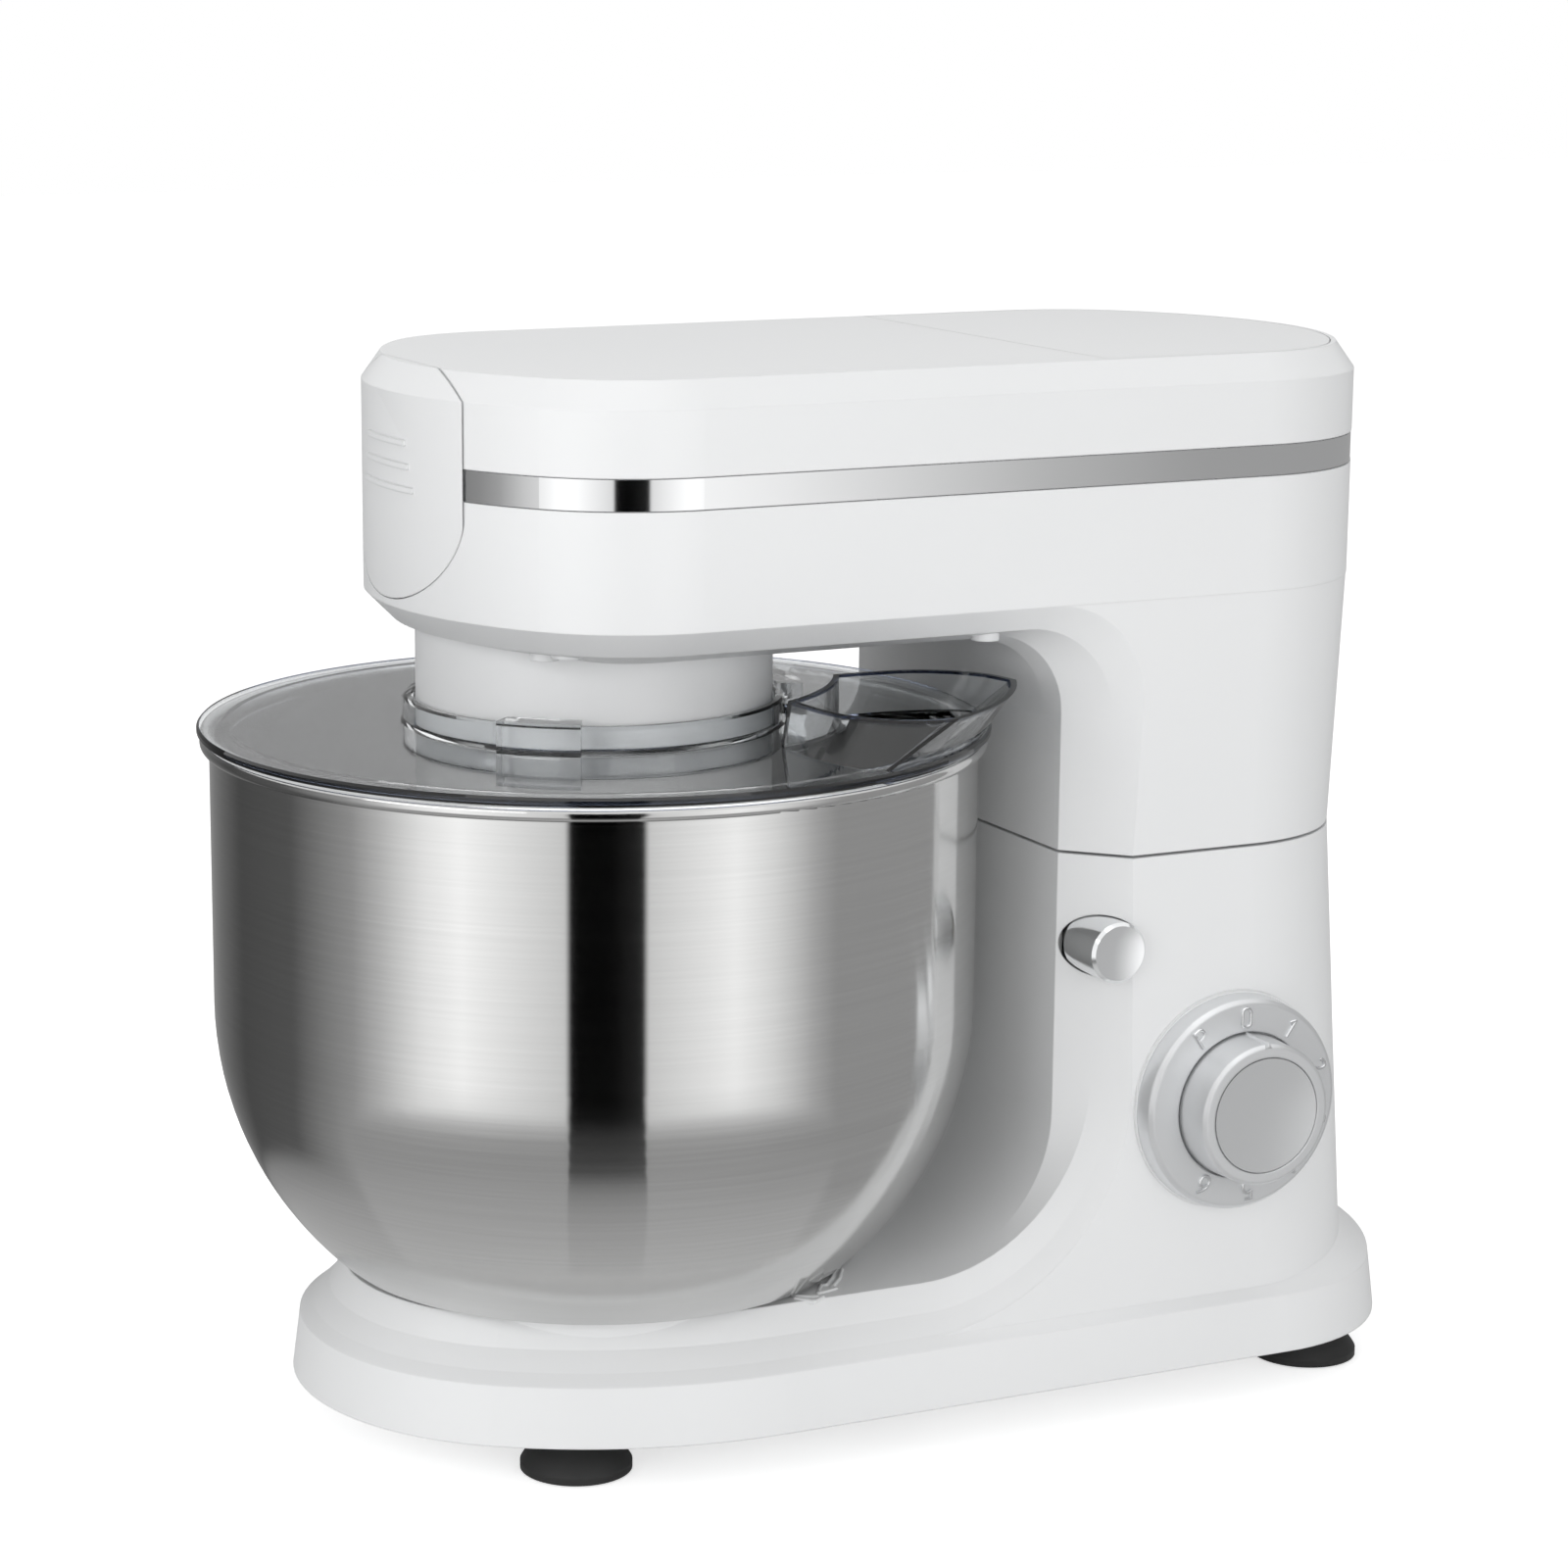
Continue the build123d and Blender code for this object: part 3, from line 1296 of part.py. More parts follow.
# Cord gland in the rear wall
rear_lean = (column_rear_foot - column_rear_split + column_draft) / (split_low - flange_top)
gland_wall_x = column_rear_foot - rear_lean * (gland_z - gland_flange_radius - flange_top)
with BuildPart() as cord_gland:
    for start, length, radius in (
        (gland_wall_x - gland_length, gland_length, gland_radius),
        (gland_wall_x, wall, gland_flange_radius),
    ):
        with BuildSketch(Plane.YZ.offset(start)):
            with Locations((0, gland_z)):
                Circle(radius)
        extrude(amount=length)
    with BuildSketch(Plane.YZ.offset(hinge_x)):
        with Locations((0, gland_z)):
            Circle(gland_bore)
    extrude(amount=far, mode=Mode.SUBTRACT)
cord_gland.part.label = "cord_gland"
export_step(cord_gland.part, "parts/cord_gland.step")

# Release button with a dished face, its latch bar, bracket and spring
button_back = button_face + button_length
with BuildPart() as release_button:
    with BuildSketch(Plane((button_x, 0, button_z))):
        with BuildLine():
            edge = Polyline(
                (button_radius - button_chamfer, button_face),
                (button_radius, button_face + button_chamfer),
                (button_radius, button_back),
                (0, button_back),
                (0, button_face + button_dish),
            )
            TangentArc(edge @ 1, edge @ 0, tangent=(1, 0))
        make_face()
    revolve(axis=Axis((button_x, 0, button_z), (0, 1, 0)))
release_button.part.label = "release_button"
export_step(release_button.part, "parts/release_button.step")

arm_near = tongue_y + tongue_width / 2 + tongue_play
latch_arm_top = tongue_low + latch_arm_rise
with BuildPart() as latch_bar:
    add(side_rod(button_x, button_z, button_back, arm_near + lap, button_stem_radius))
    add(
        block(
            button_x - latch_arm_half,
            tongue_x + latch_arm_half,
            arm_near,
            arm_near + latch_arm_thickness,
            button_z - latch_arm_half,
            latch_arm_top,
        )
    )
latch_bar.part.label = "latch_bar"
export_step(latch_bar.part, "parts/latch_bar.step")

bracket_near = button_back + latch_bracket_gap
with BuildPart() as latch_bracket:
    add(
        block(
            column_front + wall + fit_gap,
            button_x + latch_bracket_half,
            bracket_near,
            bracket_near + latch_bracket_thickness,
            button_z - latch_bracket_drop,
            deck_low,
        )
    )
    add(side_rod(button_x, button_z, -far, far, button_stem_radius + running_fit), mode=Mode.SUBTRACT)
latch_bracket.part.label = "latch_bracket"
export_step(latch_bracket.part, "parts/latch_bracket.step")

with BuildPart() as button_spring:
    spring_length = bracket_near - button_back - button_travel - fit_gap
    add(side_rod(button_x, button_z, bracket_near - spring_length, bracket_near, spring_outer, spring_inner))
button_spring.part.label = "button_spring"
export_step(button_spring.part, "parts/button_spring.step")

# Speed dial: bezel on the pad, knob with a dished insert, spindle and rotary switch
bezel_face = dial_pad_y - bezel_depth
dial_axis = Axis((dial_x, 0, dial_z), (0, 1, 0))
with BuildPart() as dial_bezel:
    with BuildSketch(Plane((dial_x, 0, dial_z))):
        Polygon(
            (spindle_radius + fit_gap, dial_pad_y),
            (bezel_radius, dial_pad_y),
            (bezel_radius - bezel_taper, bezel_face + bezel_chamfer),
            (bezel_radius - bezel_taper - bezel_chamfer, bezel_face),
            (knob_radius + bezel_gap, bezel_face),
            (knob_radius + bezel_gap, bezel_face + bezel_recess),
            (spindle_radius + fit_gap, bezel_face + bezel_recess),
            align=None,
        )
    revolve(axis=dial_axis)
dial_bezel.part.label = "dial_bezel"
export_step(dial_bezel.part, "parts/dial_bezel.step")

knob_back = bezel_face + bezel_recess - bezel_gap
insert_radius = knob_radius - knob_rim
knob_face = knob_back - knob_depth
with BuildPart() as speed_knob:
    with BuildSketch(Plane((dial_x, 0, dial_z))):
        Polygon(
            (spindle_radius + press_gap, knob_back),
            (knob_radius, knob_back),
            (knob_radius - knob_draft, knob_face + knob_chamfer),
            (knob_radius - knob_draft - knob_chamfer, knob_face),
            (insert_radius + fit_gap, knob_face),
            (insert_radius + fit_gap, knob_face + insert_depth),
            (spindle_radius + press_gap, knob_face + insert_depth),
            align=None,
        )
    revolve(axis=dial_axis)
speed_knob.part.label = "speed_knob"
export_step(speed_knob.part, "parts/speed_knob.step")

with BuildPart() as knob_insert:
    with BuildSketch(Plane((dial_x, 0, dial_z))):
        with BuildLine():
            back = knob_face + insert_depth
            edge = Polyline((insert_radius, knob_face), (insert_radius, back), (0, back), (0, knob_face + insert_dish))
            TangentArc(edge @ 1, edge @ 0, tangent=(1, 0))
        make_face()
    revolve(axis=dial_axis)
knob_insert.part.label = "knob_insert"
export_step(knob_insert.part, "parts/knob_insert.step")

switch_near = dial_pad_y + switch_gap + wall
with BuildPart() as knob_spindle:
    add(side_rod(dial_x, dial_z, knob_face + insert_depth, switch_near + spindle_depth, spindle_radius))
knob_spindle.part.label = "knob_spindle"
export_step(knob_spindle.part, "parts/knob_spindle.step")

with BuildPart() as speed_switch:
    half = switch_side / 2
    add(block(dial_x - half, dial_x + half, switch_near, switch_near + switch_depth, dial_z - half, dial_z + half))
    add(side_rod(dial_x, dial_z, dial_pad_y, switch_near, switch_neck_radius))
    add(
        side_rod(dial_x, dial_z, -far, switch_near + spindle_depth + fit_gap, spindle_radius + running_fit),
        mode=Mode.SUBTRACT,
    )
speed_switch.part.label = "speed_switch"
export_step(speed_switch.part, "parts/speed_switch.step")

# Control board on four standoffs
with BuildPart() as control_board:
    front = board_x - board_width / 2
    rear = board_x + board_width / 2
    half = board_height / 2
    add(block(front, rear, -half, half, board_low, board_low + board_thickness))
    for x in (front + board_post, rear - board_post):
        for y in (board_post - half, half - board_post):
            add(disc(x, y, base_plate_top, board_low, board_post / 2))
    board_top = board_low + board_thickness
    add(block(board_x, board_x + board_post, -half / 2, half / 2, board_top, board_top + sink_height))
    add(disc(front + 2 * board_post, 0, board_top, board_top + sink_height, board_post))
control_board.part.label = "control_board"
export_step(control_board.part, "parts/control_board.step")
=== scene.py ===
# %% [markdown]
# # A tilt-head stand mixer
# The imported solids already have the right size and, but for the clear guard and the knob's insert, the
# right shape. So this lesson mostly dresses them: a camera at the photograph's angle, a plain studio, one
# finish per real material, those two pieces made again, and the small surface marks that are too fine for
# the solids. Every length below is in metres, in the same frame as the solids: the table is z = 0, the
# nose points to -X, and the dial is on the -Y side.

# %% Load the fixed frame
from math import cos, pi, radians, sin

import bmesh
import bpy
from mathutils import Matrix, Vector


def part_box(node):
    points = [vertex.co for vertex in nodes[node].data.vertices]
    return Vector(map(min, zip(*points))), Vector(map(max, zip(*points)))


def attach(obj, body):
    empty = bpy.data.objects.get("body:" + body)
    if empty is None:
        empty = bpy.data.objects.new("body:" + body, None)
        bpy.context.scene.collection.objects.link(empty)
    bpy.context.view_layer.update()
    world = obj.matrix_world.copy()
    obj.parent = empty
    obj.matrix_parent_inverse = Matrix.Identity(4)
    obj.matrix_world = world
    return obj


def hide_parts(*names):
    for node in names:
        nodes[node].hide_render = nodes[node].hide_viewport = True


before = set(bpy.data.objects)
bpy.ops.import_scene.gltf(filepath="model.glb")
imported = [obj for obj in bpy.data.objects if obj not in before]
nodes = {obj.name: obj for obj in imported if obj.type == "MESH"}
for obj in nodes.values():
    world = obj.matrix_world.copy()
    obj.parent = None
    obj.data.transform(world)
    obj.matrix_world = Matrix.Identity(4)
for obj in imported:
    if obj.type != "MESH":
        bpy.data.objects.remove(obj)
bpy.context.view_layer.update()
bowl_x = -0.07  # the bowl's axis is upright, at this X and at Y = 0

# %% [markdown]
# ## The camera
# The mixer was photographed from a little left of its dial side and slightly above, with a long lens. A
# lens can be guessed and nudged, but here it was worked out from the outlines of head, bowl and base
# together. The optical axis lies left of the picture's middle, so the sensor is shifted instead of
# turning the camera, which keeps upright edges upright.

# %% Camera at the photograph's angle
scene = bpy.context.scene
scene.view_settings.view_transform = "Standard"
lens = bpy.data.cameras.new("studio_camera")
lens.lens = 90.45
lens.sensor_width = 36.0
lens.shift_x = 0.1125
lens.clip_end = 20.0
camera = bpy.data.objects.new("studio_camera", lens)
scene.collection.objects.link(camera)
look = Vector((0.3957, 0.8953, -0.2047))  # along the optical axis
camera.location = (-0.5168, -1.0206, 0.4186)
camera.rotation_euler = look.to_track_quat("-Z", "Y").to_euler()
scene.camera = camera
print("camera", [round(v, 3) for v in camera.location])

# %% [markdown]
# ## The studio
# White plastic needs soft, wide light or its shallow bevels disappear, so two large softboxes stand left
# and right of the camera and a third hangs above. The polished bowl and strip are mirrors, and what they
# show matters more than how they are lit: in the photograph they show two bright cloths with an upright
# black gap between them. Here that is a low ring of cloth round the mixer, which only mirror-like
# surfaces can see, so it takes no light from the plastic. Floor and backdrop are one pale white.


# %% Studio helpers
def facing(obj, place, target):
    """Stand obj at place with its -Z side turned to target."""
    obj.location = place
    obj.rotation_euler = (Vector(target) - Vector(place)).to_track_quat("-Z", "Y").to_euler()


def softbox(name, place, target, width, height, watts):
    """Rectangular lamp at place, turned to target."""
    light = bpy.data.lights.new(name, "AREA")
    light.shape = "RECTANGLE"
    light.size = width
    light.size_y = height
    light.energy = watts
    lamp = bpy.data.objects.new(name, light)
    scene.collection.objects.link(lamp)
    facing(lamp, place, target)


def round_the_bowl(angle, distance, height):
    """A place seen from the bowl's axis: angle in degrees from +X, seen from above."""
    return (bowl_x + distance * cos(radians(angle)), distance * sin(radians(angle)), height)


# %% Softboxes
middle = (-0.02, 0.0, 0.16)
left_place = round_the_bowl(angle=-158, distance=1.25, height=0.38)
right_place = round_the_bowl(angle=-84, distance=1.35, height=0.3)
top_place = (0.05, -0.1, 1.5)
softbox("left_softbox", left_place, middle, width=1.1, height=1.1, watts=6.6)
softbox("right_softbox", right_place, middle, width=1.0, height=0.9, watts=5.2)
softbox("top_softbox", top_place, middle, width=1.4, height=1.0, watts=4.8)


# %% Node helper
def math_node(tree, operation, first, second):
    """Math node; each operand is a socket or a number."""
    node = tree.nodes.new("ShaderNodeMath")
    node.operation = operation
    for socket, operand in zip(node.inputs, (first, second)):
        if isinstance(operand, (int, float)):
            socket.default_value = operand
        else:
            tree.links.new(operand, socket)
    return node.outputs[0]


# %% Floor
floor_half = 6.0
floor_drop = 0.0004  # keeps the floor clear of the feet
floor_glow = 0.6  # for the camera alone, straight or through the guard: floor and backdrop are one white
white_floor = bpy.data.materials.new("studio_white")
white_floor.use_nodes = True
tree = white_floor.node_tree
shader = tree.nodes["Principled BSDF"]
shader.inputs["Base Color"].default_value = (0.9, 0.9, 0.9, 1.0)
shader.inputs["Roughness"].default_value = 0.9
shader.inputs["Specular IOR Level"].default_value = 0.1
shader.inputs["Emission Color"].default_value = (1.0, 1.0, 1.0, 1.0)
ray = tree.nodes.new("ShaderNodeLightPath")
seen = math_node(tree, "MAXIMUM", ray.outputs["Is Camera Ray"], ray.outputs["Is Transmission Ray"])
glow = math_node(tree, "MULTIPLY", seen, floor_glow)
tree.links.new(glow, shader.inputs["Emission Strength"])
mesh = bpy.data.meshes.new("floor")
floor_corners = [(x * floor_half, y * floor_half, 0.0) for x, y in ((-1, -1), (1, -1), (1, 1), (-1, 1))]
mesh.from_pydata(floor_corners, [], [(0, 1, 2, 3)])
floor = bpy.data.objects.new("floor", mesh)
floor.location.z = -floor_drop
mesh.materials.append(white_floor)
scene.collection.objects.link(floor)
print("floor", 2 * floor_half, "m wide")

# %% Tones of the cloth ring
# Angle round the bowl's axis, and tone
ring_stops = [
    (-180, 0.4),
    (-171, 0.65),
    (-158, 1.15),
    (-148, 1.38),
    (-137, 1.15),
    (-120, 0.85),
    (-119.6, 0.0),
    (-100.6, 0.0),
    (-100.2, 0.85),
    (-77, 1.3),
    (-66, 1.0),
    (-54, 0.55),
    (-47, 0.39),
    (0, 0.38),
    (90, 0.3),
    (130, 0.09),
    (157, 0.12),
    (180, 0.4),
]
ring_inside = 0.1
ring_outside = 0.45
# Distance from the bowl's axis, and the most and the least tone that the cloth has there
brightest = [(0.1, 0.6), (0.15, 0.5), (0.21, 0.4), (0.27, 0.36), (0.33, 0.52), (0.41, 1.4)]
darkest = [(0.1, 0.55), (0.15, 0.44), (0.19, 0.3), (0.215, 0.07), (0.32, 0.05), (0.335, 0.0)]
print("cloth", len(ring_stops), "shades")


# %% Cloth
def fill_ramp(ramp, tones):
    """Give a colour ramp these greys, each a position and a tone."""
    stops = ramp.color_ramp.elements
    while len(stops) < len(tones):
        stops.new(0.5)
    for stop, (position, tone) in zip(stops, tones):
        stop.position = position
        stop.color = (tone, tone, tone, 1.0)


cloth = bpy.data.materials.new("ring_cloth")
cloth.use_nodes = True
tree = cloth.node_tree
shader = tree.nodes["Principled BSDF"]
shader.inputs["Base Color"].default_value = (0.0, 0.0, 0.0, 1.0)
shader.inputs["Specular IOR Level"].default_value = 0.0
shader.inputs["Emission Strength"].default_value = 1.0
spot = tree.nodes.new("ShaderNodeSeparateXYZ")
tree.links.new(tree.nodes.new("ShaderNodeTexCoord").outputs["Object"], spot.inputs[0])
share = tree.nodes.new("ShaderNodeMapRange")
share.inputs["From Min"].default_value = -pi
share.inputs["From Max"].default_value = pi
turn = math_node(tree, "ARCTAN2", spot.outputs["Y"], spot.outputs["X"])
tree.links.new(turn, share.inputs["Value"])
shades = tree.nodes.new("ShaderNodeValToRGB")
tree.links.new(share.outputs["Result"], shades.inputs["Fac"])
fill_ramp(shades, [((angle + 180) / 360, tone) for angle, tone in ring_stops])
away = tree.nodes.new("ShaderNodeVectorMath")
away.operation = "LENGTH"
flat = tree.nodes.new("ShaderNodeCombineXYZ")
tree.links.new(spot.outputs["X"], flat.inputs["X"])
tree.links.new(spot.outputs["Y"], flat.inputs["Y"])
tree.links.new(flat.outputs[0], away.inputs[0])
reach = tree.nodes.new("ShaderNodeMapRange")
reach.inputs["From Min"].default_value = ring_inside
reach.inputs["From Max"].default_value = ring_outside
tree.links.new(away.outputs["Value"], reach.inputs["Value"])
ceiling = tree.nodes.new("ShaderNodeValToRGB")
hem = tree.nodes.new("ShaderNodeValToRGB")
ring_width = ring_outside - ring_inside
for ramp, limits in ((ceiling, brightest), (hem, darkest)):
    tree.links.new(reach.outputs["Result"], ramp.inputs["Fac"])
    fill_ramp(ramp, [((distance - ring_inside) / ring_width, tone) for distance, tone in limits])
dimmed = math_node(tree, "MINIMUM", shades.outputs["Color"], ceiling.outputs["Color"])
lifted = math_node(tree, "MAXIMUM", dimmed, hem.outputs["Color"])
tree.links.new(lifted, shader.inputs["Emission Color"])
print("cloth", len(tree.nodes), "nodes")


# %% Mesh helpers
def mesh_object(name, build):
    """Object from a bmesh, with outward normals."""
    bmesh.ops.recalc_face_normals(build, faces=build.faces)
    mesh = bpy.data.meshes.new(name)
    build.to_mesh(mesh)
    build.free()
    made = bpy.data.objects.new(name, mesh)
    scene.collection.objects.link(made)
    return made


def bridge(build, low, high):
    """Faces between two closed rows of points."""
    for step in range(len(low)):
        after = (step + 1) % len(low)
        build.faces.new((low[step], low[after], high[after], high[step]))


# %% Ring of cloth for the mirrors
ring_floor = 0.002
ring_top = 0.36
ring_profile = [(ring_inside, ring_floor), (ring_outside, ring_floor), (ring_outside, ring_top)]
ring_steps = 144
ring_mesh = bmesh.new()
ring_turns = [2 * pi * step / ring_steps for step in range(ring_steps)]
hoops = []
for radius, height in ring_profile:
    hoops.append([ring_mesh.verts.new((radius * cos(a), radius * sin(a), height)) for a in ring_turns])
for low, high in zip(hoops, hoops[1:]):
    bridge(ring_mesh, low, high)
ring = mesh_object("ring_cloth", ring_mesh)
ring.data.materials.append(cloth)
ring.location = (bowl_x, 0.0, 0.0)
ring.visible_camera = False
ring.visible_diffuse = False
ring.visible_transmission = False
ring.visible_shadow = False
print("ring cloth", len(ring.data.polygons), "faces")

# %% World
room_light = 0.53  # what the world gives to matt surfaces; camera, mirrors and clear plastic see plain white
world = bpy.data.worlds.new("pale_room")
scene.world = world
world.use_nodes = True
sky = world.node_tree
backdrop = sky.nodes["Background"]
backdrop.inputs["Color"].default_value = (1.0, 1.0, 1.0, 1.0)
seen = sky.nodes.new("ShaderNodeLightPath")
whole = math_node(sky, "MAXIMUM", seen.outputs["Is Camera Ray"], seen.outputs["Is Glossy Ray"])
whole = math_node(sky, "MAXIMUM", whole, seen.outputs["Is Transmission Ray"])
level = sky.nodes.new("ShaderNodeMapRange")
level.inputs["To Min"].default_value = room_light
level.inputs["To Max"].default_value = 1.0
sky.links.new(whole, level.inputs["Value"])
sky.links.new(level.outputs["Result"], backdrop.inputs["Strength"])

# %% [markdown]
# ## Shared surface effects
# Moulded plastic is never perfectly even: the steel mould leaves a very fine grain, and the skin flows a
# little, so its gloss drifts from place to place. Several finishes here are moulded, so this is one node
# group with its own values in each material. Turned metal is a second group: its lines run round an axis,
# so the pattern is read in radius and height instead of plain X, Y and Z.


# %% Node group helpers
def new_group(name, inputs, outputs):
    """Shader node group with float inputs and outputs; returns group, input node and output node."""
    group = bpy.data.node_groups.new(name, "ShaderNodeTree")
    for title, value in inputs:
        socket = group.interface.new_socket(title, in_out="INPUT", socket_type="NodeSocketFloat")
        socket.default_value = value
    for title in outputs:
        group.interface.new_socket(title, in_out="OUTPUT", socket_type="NodeSocketFloat")
    return group, group.nodes.new("NodeGroupInput"), group.nodes.new("NodeGroupOutput")


def noise_node(group, vector, scale, detail):
    """Noise node; its scale is a socket or a number."""
    node = group.nodes.new("ShaderNodeTexNoise")
    node.inputs["Detail"].default_value = detail
    group.links.new(vector, node.inputs["Vector"])
    if isinstance(scale, (int, float)):
        node.inputs["Scale"].default_value = scale
    else:
        group.links.new(scale, node.inputs["Scale"])
    return node.outputs["Fac"]


# %% Moulded skin
moulded, moulded_in, moulded_out = new_group(
    "moulded_skin",
    [("Grain Scale", 1400.0), ("Rough Low", 0.3), ("Rough High", 0.4), ("Flow Scale", 9.0)],
    ["Grain", "Roughness", "Tone"],
)
where = moulded.nodes.new("ShaderNodeTexCoord").outputs["Object"]
grain = noise_node(moulded, where, moulded_in.outputs["Grain Scale"], detail=2.0)
flow = noise_node(moulded, where, moulded_in.outputs["Flow Scale"], detail=3.0)
spread = math_node(moulded, "SUBTRACT", moulded_in.outputs["Rough High"], moulded_in.outputs["Rough Low"])
gloss = math_node(moulded, "MULTIPLY", flow, spread)
gloss = math_node(moulded, "ADD", gloss, moulded_in.outputs["Rough Low"])
moulded.links.new(grain, moulded_out.inputs["Grain"])
moulded.links.new(gloss, moulded_out.inputs["Roughness"])
moulded.links.new(flow, moulded_out.inputs["Tone"])
print("group", moulded.name, [s.name for s in moulded.interface.items_tree])

# %% Turned lines round an upright axis
line_stretch = 0.0012  # metres of pattern for each radian: little, so the lines run long
line_share = 0.7
cloud_scale = 14.0
turned, turned_in, turned_out = new_group(
    "turned_lines",
    [("Axis X", bowl_x), ("Axis Y", 0.0), ("Line Scale", 2600.0), ("Rough Low", 0.2), ("Rough High", 0.34)],
    ["Lines", "Roughness", "Tone"],
)
where = turned.nodes.new("ShaderNodeTexCoord").outputs["Object"]
split = turned.nodes.new("ShaderNodeSeparateXYZ")
turned.links.new(where, split.inputs[0])
across = math_node(turned, "SUBTRACT", split.outputs["X"], turned_in.outputs["Axis X"])
along = math_node(turned, "SUBTRACT", split.outputs["Y"], turned_in.outputs["Axis Y"])
radius = math_node(turned, "MULTIPLY", across, across)
radius = math_node(turned, "ADD", radius, math_node(turned, "MULTIPLY", along, along))
radius = math_node(turned, "SQRT", radius, 0.0)
turn = math_node(turned, "ARCTAN2", along, across)
place = turned.nodes.new("ShaderNodeCombineXYZ")
turned.links.new(radius, place.inputs["X"])
turned.links.new(math_node(turned, "MULTIPLY", turn, line_stretch), place.inputs["Y"])
turned.links.new(split.outputs["Z"], place.inputs["Z"])
lines = noise_node(turned, place.outputs[0], turned_in.outputs["Line Scale"], detail=4.0)
cloudy = noise_node(turned, where, cloud_scale, detail=3.0)
spread = math_node(turned, "SUBTRACT", turned_in.outputs["Rough High"], turned_in.outputs["Rough Low"])
clouds = math_node(turned, "MULTIPLY", cloudy, 1.0 - line_share)
blend = math_node(turned, "ADD", math_node(turned, "MULTIPLY", lines, line_share), clouds)
gloss = math_node(turned, "MULTIPLY", blend, spread)
gloss = math_node(turned, "ADD", gloss, turned_in.outputs["Rough Low"])
turned.links.new(lines, turned_out.inputs["Lines"])
turned.links.new(gloss, turned_out.inputs["Roughness"])
turned.links.new(blend, turned_out.inputs["Tone"])
print("group", turned.name, [s.name for s in turned.interface.items_tree])

# %% [markdown]
# ## Finishes
# One function makes a finish from a surface group: the group's tone mixes two close colours, its gloss
# drives the roughness, and its grain drives a bump. A small Bevel in the normal rounds the sharp edges of
# the solids for the light only, as a real mould rounds them by a fraction of a millimetre.


# %% Finish maker
def finish(name, group, dark, light, values, bump, depth, metallic=0.0, edge=0.0006):
    """Material whose colour, gloss and grain come from one surface group.

    bump is the grain's strength, depth its height and edge the Bevel's radius, both in metres.
    """
    material = bpy.data.materials.new(name)
    material.use_nodes = True
    tree = material.node_tree
    shader = tree.nodes["Principled BSDF"]
    skin = tree.nodes.new("ShaderNodeGroup")
    skin.node_tree = group
    for title, value in values.items():
        skin.inputs[title].default_value = value
    colour = tree.nodes.new("ShaderNodeMix")
    colour.data_type = "RGBA"
    colour.inputs["A"].default_value = (*dark, 1.0)
    colour.inputs["B"].default_value = (*light, 1.0)
    tree.links.new(skin.outputs["Tone"], colour.inputs["Factor"])
    tree.links.new(colour.outputs["Result"], shader.inputs["Base Color"])
    tree.links.new(skin.outputs["Roughness"], shader.inputs["Roughness"])
    height = tree.nodes.new("ShaderNodeBump")
    height.inputs["Strength"].default_value = bump
    height.inputs["Distance"].default_value = depth
    tree.links.new(skin.outputs[0], height.inputs["Height"])
    if edge:
        rounding = tree.nodes.new("ShaderNodeBevel")
        rounding.samples = 4
        rounding.inputs["Radius"].default_value = edge
        tree.links.new(rounding.outputs["Normal"], height.inputs["Normal"])
    tree.links.new(height.outputs["Normal"], shader.inputs["Normal"])
    shader.inputs["Metallic"].default_value = metallic
    return material


def dress(material, *names):
    """Give CAD nodes this finish."""
    for name in names:
        solid = nodes[name]
        solid.data.materials.clear()
        solid.data.materials.append(material)
    print(material.name, "on", ", ".join(names))


# %% [markdown]
# The housing is white moulded plastic with a fine, even grain. Pure white would clip under the lamps and
# lose the shallow bevels, so its colour stays near 0.8, and a roughness of about 0.4 gives the broad,
# soft highlights that such plastic has.

# %% White housing plastic
white = finish(
    "white_housing",
    moulded,
    dark=(0.79, 0.8, 0.805),
    light=(0.82, 0.825, 0.83),
    values={"Grain Scale": 1500.0, "Rough Low": 0.34, "Rough High": 0.44},
    bump=0.12,
    depth=0.00008,
)
dress(white, "head_housing", "head_top_cover", "front_cap", "outlet_cover", "neck_housing")
dress(white, "base_housing", "base_plate", "screw_plugs", "foot_stems")

# %% [markdown]
# Bezel and knob look like silver paint: fine metal flakes in plastic. A pure metal would mirror the dark
# places of the room as well as the bright ones, so this finish is two thirds metallic, and a wider Bevel
# lets the rims catch light.

# %% Silver dial
silver = finish(
    "silver_plastic",
    moulded,
    dark=(0.73, 0.74, 0.75),
    light=(0.78, 0.79, 0.8),
    values={"Grain Scale": 2600.0, "Rough Low": 0.3, "Rough High": 0.38},
    bump=0.1,
    depth=0.00005,
    metallic=0.68,
    edge=0.0009,
)
dress(silver, "dial_bezel", "speed_knob")

# %% [markdown]
# The knob's insert and the release button are smoother and brighter; their colour is lighter than that
# finish alone, a painted highlight for the bright reflection across their hollow faces. The button's mesh
# has one wrong normal, at the middle of its hollow face, which would show as a dark speck. A solid's mesh
# stays as it is, so the finish mends this: where the smooth normal and the face's own differ, the face's
# own is used.
# The raised numerals get a finish of their own, because thin ribs need a stronger gloss to be seen on the
# bezel, and a lighter colour than the bezel's, which is a painted highlight.

